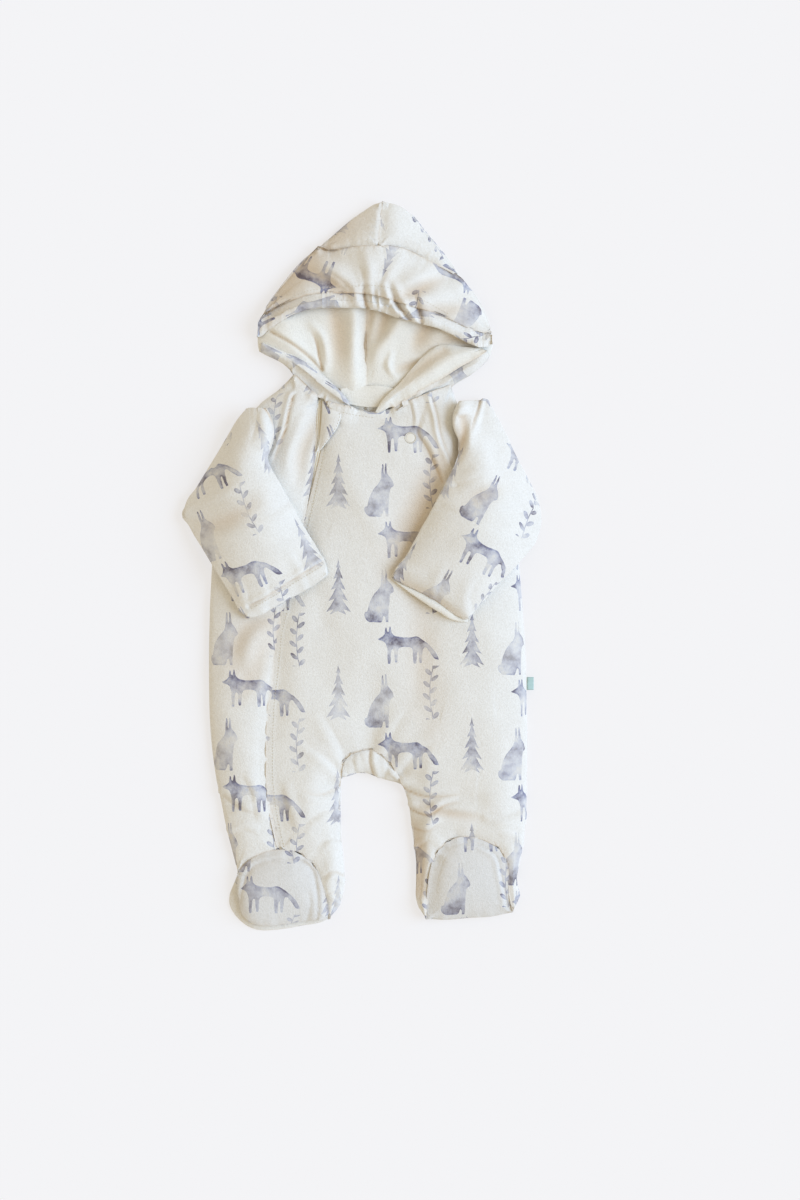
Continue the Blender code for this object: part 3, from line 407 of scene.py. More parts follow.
def finder(places):
    """A tree that finds the nearest of some places."""
    tree = KDTree(len(places))
    for index, place in enumerate(places):
        tree.insert((place[0], place[1], 0), index)
    tree.balance()
    return tree


rims = {node: solid_and_rim(node)[1] for group in SEWN_TOGETHER for node in group}


class Panel:
    """A sewn, padded panel on its node's solid, made finer. Places are in millimetres, its right side up."""

    def __init__(self, node, fineness, tight=True):
        self.node = node
        solid, rim, corners = solid_and_rim(node)
        coarse = bpy.data.meshes.new(node)
        coarse.from_pydata([vertex.co for vertex in solid.verts], [],
                           [[vertex.index for vertex in face.verts] for face in solid.faces])
        solid.free()
        neighbours = [place for group in SEWN_TOGETHER if node in group for other in group if other != node
                      for place in rims[other]]
        beside = finder(neighbours)
        kept = coarse.attributes.new("crease_vert", "FLOAT", "POINT").data
        for corner in corners:
            meets = neighbours and beside.find((corner.x, corner.y, 0))[2] < SEWN_FAR
            for vertex in coarse.vertices:
                if (vertex.co / MM - corner).to_2d().length < CORNER_REACH:
                    kept[vertex.index].value = SHARP_CORNER if meets else SOFT_CORNER
        self.thing = bpy.data.objects.new("velour_" + node, coarse)
        bpy.context.scene.collection.objects.link(self.thing)
        finer = self.thing.modifiers.new("finer", "SUBSURF")
        finer.levels = fineness
        finer.render_levels = fineness
        graph = bpy.context.evaluated_depsgraph_get()
        fine = bpy.data.meshes.new_from_object(self.thing.evaluated_get(graph))
        self.thing.modifiers.clear()
        self.thing.data = fine
        count = len(fine.vertices)
        flat = np.empty(count * 3)
        fine.vertices.foreach_get("co", flat)
        self.points = flat.reshape(-1, 3) / MM
        flat = np.empty(count * 3)
        fine.vertex_normals.foreach_get("vector", flat)
        self.normals = flat.reshape(-1, 3)
        self.place = self.points[:, :2].copy()
        self.outer = np.clip(self.normals[:, 2] * 2, 0, 1)
        self.swell = np.zeros(count)
        self.lift = np.zeros(count)
        self.painted_shade = np.zeros(count)
        sewn = np.zeros(len(rim))
        step = np.zeros(len(rim))
        seam = np.array([place[:2] for place in rim])
        if neighbours:
            # Where two panels are sewn, each comes half of the way to the other.
            for index, place in enumerate(rim):
                other, found, gap = beside.find((place.x, place.y, 0))
                sewn[index] = min(1.0, max(0.0, (SEWN_FAR - gap) / (SEWN_FAR - SEWN_NEAR)))
                seam[index] += (np.array(other[:2]) - seam[index]) * 0.5 * sewn[index]
                step[index] = (neighbours[found].z - place.z) * 0.5 * sewn[index]
        tree = finder(rim)
        step = np.array([step[[spot[1] for spot in tree.find_range((place.x, place.y, 0), RIM_EVEN)]].mean()
                         for place in rim])
        nearest = np.array([tree.find((x, y, 0))[1] for x, y in self.place])
        self.rim_place = np.array([place[:2] for place in rim])[nearest]
        self.rim_distance = np.hypot(*(self.rim_place - self.place).T)
        self.sewn = sewn[nearest]
        self.drop = np.zeros(count)
        edge = np.flatnonzero((self.rim_distance < SEAM_BAND) & (self.normals[:, 2] > EDGE_FACES))
        crest = np.flatnonzero((self.rim_distance > SEAM_BAND) & (self.rim_distance < CREST_BAND)
                               & (self.normals[:, 2] > CREST_FACES))
        if tight and len(crest):
            crests = finder([(x, y, 0) for x, y in self.place[crest]])
            for index in edge:
                found = crests.find_n((*self.place[index], 0), CRESTS)
                level = sum(self.points[crest[spot[1]], 2] for spot in found) / len(found)
                self.drop[index] = max(0.0, level - self.points[index, 2])
        if tight:
            eased = SEAM_DEPTH * (1 - np.exp(-self.drop / SEAM_DEPTH))
            self.points[:, 2] += self.sewn * (self.drop - eased)
            self.drop -= self.sewn * (self.drop - eased)
            self.points[:, 2] += step[nearest] * np.exp(-(self.rim_distance / LEVEL_BAND) ** 2)
            # Painted shade along the seam.
            self.painted_shade += SEAM_PAINTED_SHADE * self.sewn * np.exp(-(self.rim_distance / SEAM_SHADE) ** 2)
            target = seam[nearest] - self.place
            toward = target / np.maximum(np.hypot(*target.T), SHORT)[:, None]
            pull = np.exp(-(self.rim_distance / SEAM_CLOSE) ** 2)
            self.points[:, :2] += target * pull[:, None] + toward * (pull * SEAM_LAP * self.sewn)[:, None]

    def lumps(self, size, height, seed):
        """Wadding is never even."""
        self.swell += height * hills(self.place, size, seed)

    def seam(self, depth, width, pucker, spacing, reach, seed=1):
        """The seam draws the edge down and puckers the cloth beside it."""
        self.swell -= depth * np.exp(-(self.rim_distance / width) ** 2)
        fine = FINE_PUCKERS["height"] * hills(self.rim_place, spacing * FINE_PUCKERS["spacing"], seed + 1)
        waves = hills(self.rim_place, spacing, seed) + fine
        self.swell += pucker * waves * np.exp(-self.rim_distance / reach)

    def beside(self, line, span):
        """Which points lie near a line, how far to its left each is, and how far along it in steps."""
        ends = line[:, :2]
        near = np.all((self.place > ends.min(axis=0) - span) & (self.place < ends.max(axis=0) + span), axis=1)
        spots = self.place[near]
        best = np.full(len(spots), 1e9)
        across = np.zeros(len(spots))
        along = np.zeros(len(spots))
        for index, (start, end) in enumerate(zip(ends, ends[1:])):
            step = end - start
            offset = spots - start
            share = np.clip((offset @ step) / (step @ step), 0, 1)
            gap = offset - share[:, None] * step
            distance = np.hypot(gap[:, 0], gap[:, 1])
            closer = distance < best
            side = np.where(step[0] * offset[:, 1] - step[1] * offset[:, 0] > 0, 1.0, -1.0)
            best = np.where(closer, distance, best)
            across = np.where(closer, side * distance, across)
            along = np.where(closer, index + share, along)
        return near, across, along

    def folds(self, table):
        """Each row is a line of x, y, its width, the rise on its left, its cut, and which ends run out."""
        for line, width, rise, cut, ends in table:
            line = smooth_line(line)
            near, across, along = self.beside(line, FOLD_SPAN * width)
            across = across / width
            along = along / (len(line) - 1)
            fade = np.ones(len(across))
            for end, share in (("start", along), ("end", 1 - along)):
                if end in ends:
                    fade *= np.sin(np.clip(share / FOLD_FADE[end], 0, 1) * math.pi / 2)
            bulge = rise * np.exp(-((across - BULGE["at"]) / BULGE["width"]) ** 2)
            slit = cut * np.exp(-(np.abs(across) / SLIT["width"]) ** SLIT["power"])
            self.swell[near] += fade * (bulge - slit)
            # Painted shade along a deep crease.
            crease_shading = min(1.0, max(0.0, cut - CREASE_SHADE_CUT[0]) / (CREASE_SHADE_CUT[1] - CREASE_SHADE_CUT[0]))
            self.painted_shade[near] += fade * crease_shading * np.exp(-(across * width / SEAM_SHADE) ** 2)

    def ridges(self, table):
        """Soft forms, with painted shade where they sink. Each row is a line of x, y, height, and how wide it
        is on its left and on its right.
        """
        for line, left, right in table:
            line = smooth_line(line)
            near, across, along = self.beside(line, RIDGE_SPAN * max(left, right))
            height = np.interp(along, np.arange(len(line)), line[:, 2])
            form = height * np.exp(-(across / np.where(across > 0, left, right)) ** 2)
            self.lift[near] += form
            self.painted_shade[near] += np.maximum(-form, 0) / FULL_SHADE_DEPTH

    def iron(self, share, reach):
        """Takes most of the even waves out of a panel, from end to end of it."""
        columns = np.arange(math.floor(self.place[:, 0].min()), math.ceil(self.place[:, 0].max()) + 1)
        top = self.normals[:, 2] > FACES_UP
        order = np.argsort(self.place[top, 0])
        heights = np.convolve(self.points[top, 2][order], np.ones(IRON_MEAN) / IRON_MEAN, "same")
        profile = np.interp(columns, self.place[top, 0][order], heights)
        window = np.ones(reach)
        calm = np.convolve(profile, window, "same") / np.convolve(np.ones(len(profile)), window, "same")
        self.lift -= share * np.interp(self.place[:, 0], columns, profile - calm)

    def finish(self, material, slot, turn=0.0, shift=(0.0, 0.0)):
        """Moves the points out, lays the print on the cut, hangs the panel under the root body and hides its
        node.
        """
        steady = 1 - self.sewn * np.exp(-(self.rim_distance / SEAM_STEADY) ** 2)
        self.points[:, :2] += self.normals[:, :2] * (self.swell * self.outer * steady)[:, None]
        self.points[:, 2] += self.normals[:, 2] * self.swell * self.outer
        self.points[:, 2] = np.maximum(self.points[:, 2] + self.lift * self.outer, 0)
        mesh = self.thing.data
        mesh.vertices.foreach_set("co", (self.points * MM).ravel())
        mesh.update()
        mesh.shade_smooth()
        outward = (self.rim_place - self.place) / np.maximum(self.rim_distance, SHORT)[:, None]
        down_the_side = self.points[:, :2] + outward * self.drop[:, None]
        angle = math.radians(turn)
        cut = np.zeros((len(self.points), 3))
        cut[:, 0] = down_the_side[:, 0] * math.cos(angle) + down_the_side[:, 1] * math.sin(angle) + shift[0]
        cut[:, 1] = down_the_side[:, 1] * math.cos(angle) - down_the_side[:, 0] * math.sin(angle) + shift[1]
        layer = mesh.attributes.new("cut", "FLOAT_VECTOR", "POINT")
        layer.data.foreach_set("vector", (cut * MM).ravel())
        # The painted shade goes with the mesh, for the velour to darken it.
        layer = mesh.attributes.new("painted_shade", "FLOAT", "POINT")
        layer.data.foreach_set("value", np.clip(self.painted_shade, 0, 1))
        mesh.materials.clear()
        mesh.materials.append(material)
        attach(self.thing, "root")
        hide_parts(self.node)
        return self.thing


back = Panel("back", 2)
back.seam(0.0, 2.0, 0.5, 14, 10)
back_piece = back.finish(printed_velour, "printed_velour")

# ------------------------------------------------------------
# The front is cut in two beside the zip: a side strip on the wearer's right, and the main front with the
# other leg. The wadding is soft, so the sleeves, the neck seam and the crotch seam draw long shallow folds
# into it.
# ------------------------------------------------------------
FRONT_FOLDS = (
    # Shoulder on the side strip.
    (((-83, 94), (-75.5, 113), (-70.5, 127), (-67.5, 141), (-63.5, 158)), 3.4, 2.2, 2.6, "start"),
    (((-86, 104), (-79, 120), (-76, 138)), 3.5, 0.8, 1.4, "end"),
    # Shoulder on the main front.
    (((62, 155), (54, 131), (53.5, 122), (61, 111), (69, 93), (76, 78)), 4, 1.5, 1.5, "start"),
    (((88, 91), (79, 108), (73.5, 124), (71, 139), (66, 156)), 3.4, 1.8, 1.5, "start"),
    (((46, 149), (48.5, 138), (47, 128)), 3, 0.9, 1.0, "end"),
    # Drags across the chest and belly.
    (((-44, 96), (-20, 70), (6, 22), (14, -30)), 17, 0.9, 0.3, "start end"),
    (((-60, 30), (-44, -8), (-36, -60)), 15, 1.1, 0.3, "start end"),
    (((40, 60), (24, 20), (26, -40)), 16, 0.9, 0.2, "start end"),
    (((60, -50), (52, -96), (48, -140)), 16, 0.8, 0.3, "start end"),
    (((-128, -60), (-112, -92), (-106, -130)), 13, 1.0, 0.3, "start end"),
    (((-96, -70), (-98, -110), (-104, -150)), 11, 0.9, 0.4, "start end"),
    # Crotch and inner legs.
    (((-18, -192), (-34, -176), (-58, -160)), 7, 1.6, 1.2, "end"),
    (((-15, -178), (-24, -158), (-40, -132)), 8, 1.4, 0.8, "end"),
    (((-19, -204), (-36, -212), (-58, -208)), 6, 1.8, 1.5, "end"),
    (((36, -196), (50, -176), (76, -160)), 8, 1.6, 1.1, "end"),
    (((24, -176), (30, -154), (44, -132)), 8, 1.2, 0.8, "end"),
    (((38, -206), (60, -214), (92, -212)), 6, 2.2, 2.0, "end"),
    # Ankles, where the feet turn up.
    (((46, -226), (62, -231), (78, -222), (92, -219)), 5, 2.4, 2.0, "end"),
    (((50, -244), (62, -246), (74, -238)), 5, 2.0, 1.5, "end"),
    (((152, -226), (132, -232), (112, -228)), 6, 1.5, 1.1, "end"),
    (((152, -252), (142, -246), (128, -244)), 5, 1.2, 0.9, "end"),
    (((48, -272), (54, -262), (64, -254)), 4, 1.4, 1.2, "end"),
    (((-128, -214), (-112, -226), (-98, -230)), 6, 1.6, 1.2, "end"),
    (((-122, -250), (-108, -246), (-96, -250)), 6, 1.6, 1.1, "end"),
    (((-112, -192), (-102, -214), (-98, -240)), 7, 1.8, 0.9, "start end"),
    (((-76, -200), (-70, -226), (-62, -250)), 7, 1.8, 0.8, "start end"),
    (((-20, -226), (-38, -230), (-56, -244)), 6, 1.8, 1.2, "end"),
    (((-18, -256), (-30, -254), (-42, -262)), 5, 1.6, 1.2, "end"),
    (((-16, -288), (-26, -284), (-36, -290)), 4.5, 1.9, 1.6, "end"),
    (((-18, -312), (-26, -304), (-34, -306)), 4, 1.6, 1.4, "end"),
)
ZIP_ROW_GAP = 4            # the tape's points lie in rows at least this far apart
tape_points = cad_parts["zip"].data.vertices
tape = np.array(sorted((vertex.co.y / MM, vertex.co.x / MM) for vertex in tape_points))
tape_rows = np.split(tape, np.flatnonzero(np.diff(tape[:, 0]) > ZIP_ROW_GAP) + 1)
ZIP_LINE = smooth_line([((row[:, 1].min() + row[:, 1].max()) / 2, row[:, 0].mean()) for row in tape_rows])
ZIP_SHUT = ((-60, 20, 160), (1.3, 0.2, 0.0))    # how far the fronts' edges roll over the tape, by y
ZIP_ROLL = {"flat": 1.5, "reach": 4, "span": 12}    # whole near the zip's middle, then less over its reach
FRONT_RIDGES = (
    # The side strip falls to the side seam, and rises beside the zip.
    (((-94, -300, 1.0), (-100, -180, 2.2), (-94, -90, 2.2), (-80, 0, 1.8), (-64, 70, 1.5)), 24, 15),
    (((-130, -104, 0.5), (-102, -72, 3.2), (-76, -40, 1.5)), 11, 14),
    (((-126, -134, 0.3), (-104, -104, -2.2), (-86, -62, -1.6)), 10, 10),
    # The main front is fullest over the chest and belly.
    (((8, -120, 1.0), (0, -40, 3.0), (2, 60, 2.6), (16, 130, 0.5)), 34, 40),
    (((-66, -150, 0.6), (-58, -60, 1.8), (-34, 20, 1.2)), 12, 16),
    (((110, -170, 1.5), (116, -60, 3.0), (96, -20, 1.0)), 34, 24),
    (((54, -20, -1.0), (58, -90, -2.0), (66, -150, -0.8)), 16, 16),
    # Legs.
    (((-50, -250, 1.5), (-46, -205, 2.2), (-34, -160, 0.8)), 13, 12),
    (((66, -214, 1.0), (64, -190, 2.2), (72, -150, 1.0)), 9, 18),
    (((57, -250, 1.0), (62, -238, 3.4), (70, -228, 1.0)), 6, 7),
    # A dip with painted shade on the strip beside the right sole.
    (((55, -304, -3.0), (55, -270, -4.0), (51, -240, -2.0)), 6, 6),
    (((56, -223, -1.5), (80, -229, -3.0), (110, -233, -1.0)), 4, 5),
    (((-122, -232, 1.0), (-100, -222, 2.4), (-88, -232, 1.0)), 6, 6),
    (((-30, -300, 0.8), (-26, -270, 2.0), (-32, -236, 1.0)), 6, 6),
    (((128, -250, 1.0), (130, -200, 2.4), (126, -150, 1.0)), 24, 12),
    # Round the sleeve heads.
    (((-68, 84, 1.0), (-67, 104, 2.8), (-60, 122, 2.4), (-52, 144, 1.2)), 6, 7),
    (((-58, 78, -0.8), (-56, 104, -2.4), (-47, 126, -2.2), (-41, 142, -1.0)), 6, 6),
    (((82, 86, 0.8), (70, 108, 2.2), (62, 128, 1.6)), 6, 8),
    (((91, 96, -1.5), (92, 112, -3.0), (92, 124, -1.5)), 5, 5),
    # Hollows beside the sleeves, whose painted shade stands in for the sleeves' shadows.
    (((30, 0, -1.5), (42, 22, -3.6), (58, 58, -4.2), (72, 92, -3.0)), 17, 14),
    (((-118, -92, -1.5), (-108, -60, -2.6), (-84, -46, -2.2)), 9, 9),
)
# The neck seam joins the fronts to the hood's edges.
NECK_SEAM = ((-46, 157, 2.0), (-30, 152, 3.2), (-14, 148, 2.0), (10, 143, 4.2), (26, 146, 3.6),
             (40, 150, 2.0), (70, 162, 2.6), (84, 168, 1.5))
NECK_LINE = smooth_line(NECK_SEAM)
NECK = {"width": 4.5, "lip_down": 1.0, "roll_width": 6, "roll_down": 3.2}
NECK_FRONT_UP = ((6, 18, 27, 36, 46), (1.6, 4.2, 5.2, 4.6, 1.6))     # by x
NECK_SPAN = 8 / 3      # widths from the seam at which nothing is drawn any more
LIP_TAIL_WIDTHS = (2.5, 5)
LIP_TAIL = ((-6, 147.5, 2.0), (10, 146.5, 5.0), (26, 147.8, 6.0), (34, 149.5, 4.6), (42, 152, 1.0))
NECK_REACH = ((138, 151), (0, 6.0))     # how far the zip and its guard run up under the hood's edge, by y


def draw_at_neck(panel, width, amount):
    """Draws the cloth beside the neck seam up, by an amount for the whole seam or amounts by x."""
    near, across, _ = panel.beside(NECK_LINE, NECK_SPAN * width)
    if not np.isscalar(amount):
        amount = np.interp(panel.place[near, 0], *amount)
    panel.points[near, 1] += amount * np.exp(-(across / width) ** 2)


FRONTS = (("front_main", (0.246, 0.49), 0.090, (0, 0)), ("front_side", (0.10, 0.465), 0.030, (21, -9)))
front_panels = []
front_pieces = []
for node, size, area, shift in FRONTS:
    front = Panel(node, 3)
    front.lumps(58, 1.3, 3)
    front.lumps(27, 0.5, 5)
    front.seam(1.0, 2.2, 0.4, 12, 9, 7)
    front.folds(FRONT_FOLDS)
    front.ridges(FRONT_RIDGES)
    near, across, _ = front.beside(ZIP_LINE, ZIP_ROLL["span"])
    beyond = np.maximum(np.abs(across) - ZIP_ROLL["flat"], 0) / ZIP_ROLL["reach"]
    rolled = np.interp(front.place[near, 1], *ZIP_SHUT) * np.exp(-beyond ** 2)
    front.points[near, 0] += np.sign(across) * rolled
    front.ridges(((NECK_SEAM, NECK["width"], NECK["width"]),))
    draw_at_neck(front, NECK["width"], NECK_FRONT_UP)
    piece = front.finish(printed_velour, "printed_velour", shift=shift)
    front_panels.append(front)
    front_pieces.append(piece)

gusset = Panel("gusset", 3)
gusset.folds((
    (((9, -168), (8, -182), (12, -196)), 4.5, 1.6, 1.6, ""),
    (((-8, -174), (-7, -184), (-5, -194)), 4, 0.7, 0.6, "end"),
    (((26, -180), (24, -190), (20, -198)), 4, 0.8, 0.7, "end"),
))
gusset.seam(0.6, 1.6, 0.5, 6, 5, 9)
gusset_piece = gusset.finish(printed_velour, "printed_velour", turn=35, shift=(50, 40))

# ------------------------------------------------------------
# The zip runs from the neck to the wearer's right foot: a nylon coil on a woven tape, set between the two
# front edges, whose folded lips nearly close over it.
# ------------------------------------------------------------
ZIP = {"rib": 1.75, "groove_shade": "#d6c8a8", "rib_colour": "#edeadf", "rib_height": 0.5 * MM, "thread": 0.9,
       "tucked": 2.2, "tuck_reach": 2.5, "sunk": 0.6, "span": 30}
WEFT_HEIGHT = 0.12     # of a cross thread, as a share of a rib's


def ribbed_tape(name, colour, groove_shade, rib, rib_height):
    """Tape woven with ribs along it: an even, slightly glossy face, with painted shade in the grooves between
    its ribs.
    """
    material, tree, shader = start_material(name, {"Roughness": 0.72, "Specular IOR Level": 0.35})
    cut = add(tree, "Attribute", attribute_name="cut")
    place = add(tree, "VectorMath", {0: cut.outputs["Vector"], "Scale": 1000}, "SCALE")
    split = add(tree, "SeparateXYZ", (place,))
    turn = add(tree, "Math", (split.outputs["X"], math.tau / rib), "MULTIPLY")
    ribs = add(tree, "Math", (turn,), "COSINE")
    wave = add(tree, "Math", (ribs, 0.5, 0.5), "MULTIPLY_ADD")
    # The cross threads are about 0.3 mm apart, too fine to show here, so they are drawn three times as wide.
    weft = add(tree, "Math", (split.outputs["Y"], math.tau / ZIP["thread"]), "MULTIPLY")
    threads = add(tree, "Math", (weft,), "SINE")
    cross = add(tree, "Math", (threads, WEFT_HEIGHT, wave), "MULTIPLY_ADD")
    # Painted shade: the grooves between the ribs get the darker colour.
    mixed = add(tree, "Mix", {"Factor": wave, "A": linear(groove_shade), "B": linear(colour)}, data_type="RGBA")
    bump = add(tree, "Bump", {"Height": cross, "Strength": 0.7, "Distance": rib_height})
    tree.links.new(mixed.outputs["Result"], shader.inputs["Base Color"])
    tree.links.new(bump.outputs["Normal"], shader.inputs["Normal"])
    return material


zip_tape = Panel("zip", 3)
near, across, _ = zip_tape.beside(ZIP_LINE, ZIP["span"])
tuck = np.sign(across) * ZIP["tucked"] * np.clip(np.abs(across) / ZIP["tuck_reach"], 0, 1)
zip_tape.points[near, 0] -= tuck
zip_tape.lift -= ZIP["sunk"]
zip_tape.points[:, 1] += np.interp(zip_tape.place[:, 1], *NECK_REACH)
woven_tape = ribbed_tape("zip_tape_woven_polyester", ZIP["rib_colour"], ZIP["groove_shade"], ZIP["rib"],
                         ZIP["rib_height"])
zip_piece = zip_tape.finish(woven_tape, "zip_tape")
on_tape = np.zeros((len(zip_tape.points), 3))
on_tape[near, 0] = across + tuck
on_tape[near, 1] = zip_tape.points[near, 1]
zip_piece.data.attributes["cut"].data.foreach_set("vector", (on_tape * MM).ravel())

# ------------------------------------------------------------
# The soles are padded D-shaped panels that turn up over the shins, with a roll of wadding round the curve.
# ------------------------------------------------------------
SOLE_FOLDS = {
    "sole_left": (
        (((-113, -318), (-111, -301), (-103, -282), (-86, -274), (-60, -273), (-46, -281), (-41, -300),
          (-40, -324)), 4.4, 1.4, 1.2, ""),
        (((-50, -300), (-47, -314), (-50, -328)), 5, 0.8, 0.8, "start"),
    ),
    "sole_right": (
        (((136, -316), (131, -290), (126, -270), (112, -260), (96, -257), (82, -261)), 3.6, 1.0, 1.1, "end"),
        (((70, -316), (71, -292), (77, -272), (88, -262)), 5, -0.3, 0.5, "start end"),
    ),
}
# The soles get a darker, cooler copy of the printed velour: painted shade, as the light is weaker toward the
# feet.
sole_velour_painted_shade = velour("brushed_velour_printed_painted_shade", "#dcdad5", "#d0cec8", True)
for node, fineness, shift in (("sole_left", 3, (5, -13)), ("sole_right", 4, (53, 28))):
    sole = Panel(node, fineness)
    sole.folds(SOLE_FOLDS[node])
    sole.lumps(24, 0.4, 12)
    sole.seam(0.3, 2.0, 0.5, 7, 6, 13)
    piece = sole.finish(sole_velour_painted_shade, "printed_velour", shift=shift)

# ------------------------------------------------------------
# Each sleeve is a tube of the printed velour, pressed flat and laid across the front: an under and an upper
# layer that meet at the side folds. The wearer's left cuff shows a band of its plain lining.
# ------------------------------------------------------------
SLEEVE_FOLDS = {
    "left": (
        (((-86, 102), (-80.4, 120), (-80.4, 130), (-85, 141), (-90, 147)), 4.5, -1.2, 2.0, "start"),
        (((-96, 142), (-98, 126), (-104, 112)), 6, 1.0, 0.7, "end"),
        (((-164, 54), (-140, 56), (-110, 68)), 9, 1.6, 1.0, "end"),
        (((-160, 40), (-134, 34), (-104, 44)), 9, 1.3, 0.7, "end"),
        (((-136, 98), (-112, 88), (-92, 92)), 9, 1.0, 0.5, "start end"),
        (((-66, 60), (-84, 48), (-112, 40)), 8, 1.0, 0.6, "end"),
        (((-103, -37), (-80, -24), (-58, -10), (-35, 4)), 3.6, 1.6, 1.8, ""),
        (((-108, -46), (-104, -28), (-112, -4)), 7, 1.3, 0.7, "end"),
        (((-86, -38), (-84, -22), (-92, 2)), 7, 0.9, 0.6, "end"),
        (((-48, -18), (-54, 2), (-66, 20)), 6, 0.9, 0.6, "end"),
    ),
    "right": (
        (((111, 155), (107.8, 143), (104.9, 134), (102.5, 124)), 3, 1.4, 1.8, "end"),
        (((87, 140), (94, 139), (102, 141)), 2.6, 1.0, 1.6, "start end"),
        (((88, 75), (100, 78), (114, 85)), 7, 1.6, 1.1, "end"),
        (((166, 50), (140, 52), (112, 64)), 9, 1.3, 0.7, "end"),
        (((162, 30), (138, 30), (110, 42)), 9, 1.1, 0.6, "end"),
        (((74, 54), (96, 46), (122, 40)), 8, 1.0, 0.6, "end"),
        (((104, -44), (102, -26), (112, -6)), 7, 1.0, 0.6, "end"),
        (((70, -34), (74, -16), (84, 4)), 6, 0.8, 0.5, "end"),
        (((30, -6), (44, -10), (60, -14)), 6, 1.0, 0.4, "end"),
    ),
}
SLEEVE_RIDGES = {
    "left": (
        (((-88, 112, 1.0), (-86, 126, 2.6), (-93, 142, 1.5)), 7, 5),
        (((-104, -42, 0.8), (-68, -21, 1.8), (-32, -2, 1.0)), 3.6, 3.6),
        (((-84, -24, 2.0), (-82, 20, 3.4), (-96, 70, 3.0), (-100, 110, 1.0)), 34, 20),
        (((-150, 34, -0.6), (-124, 42, -2.4), (-100, 56, -0.8)), 8, 8),
        (((-146, 62, 0.5), (-124, 66, 2.2), (-100, 80, 0.5)), 8, 8),
    ),
    "right": (
        (((83, 106, 1.0), (84, 124, 2.6), (87, 138, 2.0)), 3.5, 3),
        (((91, 145, 2.5), (96, 148, 4.0), (101, 146, 2.5)), 5, 5),
        (((24, -11, -1.5), (41, -17, -2.2), (61, -27, -2.4), (80, -40, -2.2), (96, -50, -1.0)), 5, 5),
        (((88, 99, -1.5), (91, 108, -3.0), (95, 122, -4.5), (95, 136, -3.5)), 4.5, 4.5),
        (((101, 116, 1.0), (104, 132, 2.4), (109, 150, 1.5)), 3.5, 5),
        (((76, -22, 2.0), (104, 20, 3.4), (118, 70, 3.2), (112, 108, 1.0)), 20, 34),
        (((88, 72, 0.5), (102, 78, 2.4), (120, 88, 0.5)), 8, 7),
        (((96, 62, -0.5), (112, 66, -2.0), (132, 72, -0.5)), 7, 7),
    ),
}
CUFF_BAND = ((((25, -16.5, 3.0), (54, -29.5, 4.4), (72, -39.5, 4.4), (93, -54.5, 2.0)), 6, 7),)
sleeve_pieces = {}
for side, turn, shift in (("left", 22, (18, 40)), ("right", -27, (70, 12))):
    under = Panel(f"sleeve_{side}_under", 2)
    under.seam(0.0, 2.0, 0.4, 9, 8, 15)
    if side == "left":
        under_piece = under.finish(printed_velour, "printed_velour", turn=turn, shift=shift)
    else:
        under.ridges(CUFF_BAND)
        under_piece = under.finish(plain_velour, "plain_velour", turn=turn, shift=shift)
    upper = Panel(f"sleeve_{side}_upper", 3)
    upper.lumps(46, 1.3, 21)
    upper.lumps(22, 0.5, 23)
    upper.seam(0.0, 2.0, 0.5, 13, 9, 25)
    upper.folds(SLEEVE_FOLDS[side])
    upper.ridges(SLEEVE_RIDGES[side])
    upper_piece = upper.finish(printed_velour, "printed_velour", turn=turn, shift=shift)
    sleeve_pieces[side] = upper_piece

# ------------------------------------------------------------
# The hood: a padded back and a plain lining inside its mouth, and over them the crown, the front band and the
# elastic casing, which the elastic gathers in the middle of the brim.
# ------------------------------------------------------------
hood_back = Panel("hood_back", 2)
hood_back.ridges(((((-45, 205, -5), (0, 205, -6), (50, 205, -6), (90, 208, -4)), 32, 32),))
hood_back_piece = hood_back.finish(printed_velour, "printed_velour", turn=180)

LINING_FOLDS = (
    (((-46, 219), (-41, 207.5), (-39, 195), (-36, 183)), 3.4, -0.6, 2.4, "start"),
    (((-84, 218.5), (-63, 206), (-47.5, 194), (-38, 184)), 3.6, 1.0, 2.0, ""),
)
LINING_RIDGES = (
    (((-95, 208, 2.0), (-70, 226, 5.0), (-40, 238, 7.0), (0, 242, 7.5), (30, 236, 7.5), (60, 224, 6.0),
      (80, 215, 4.0), (100, 203, 1.0)), 18, 18),
    (((-58, 190, 2.5), (-65, 205, 3.6), (-74, 222, 3.0)), 14, 12),
    (((-33, 184, 1.5), (-32.5, 198, 3.0), (-36, 213, 3.2), (-46, 225, 1.2)), 4, 4),
    (((-22, 182, -0.5), (-22, 202, -3.0), (-24, 226, -4.0), (-27, 242, -3.0)), 8, 9),
    (((-6, 170, 2.0), (-7, 196, 5.0), (-6, 222, 5.5), (-6, 242, 4.0)), 8, 6),
    (((-5, 171, 2.0), (-6, 182, 1.5), (-6, 192, 0)), 15, 13),
    (((4, 190, -0.5), (3.5, 210, -2.5), (9, 238, -3.5)), 4, 5),
    (((13, 208, -1.0), (19, 224, -3.5), (26, 242, -4.0)), 5, 6),
    (((12, 186, 1.5), (16, 202, 3.5), (27, 214, 5.0), (38, 231, 5.0)), 6, 9),
    (((31, 178, 1.5), (25.5, 187, 3.4), (28, 198, 1.5)), 3.2, 3.2),
    (((34, 184, -2.0), (42, 187, -3.2), (52, 190, -2.0)), 4, 5),
    (((47, 196, -1.0), (53, 211, -4.0), (62, 226, -4.0)), 7, 10),
    (((66, 204, -1.0), (84, 212, -3.0), (104, 205, -2.0)), 6, 6),
)
for node, size, area in (("lining_left", (0.104, 0.11), 0.0090), ("lining_right", (0.12, 0.11), 0.0094)):
    lining = Panel(node, 3)
    lining.folds(LINING_FOLDS)
    lining.ridges(LINING_RIDGES)
    lining.lumps(26, 0.5, 31)
    lining.seam(0.7, 2.0, 0.4, 14, 9, 33)
    piece = lining.finish(plain_velour, "plain_velour")

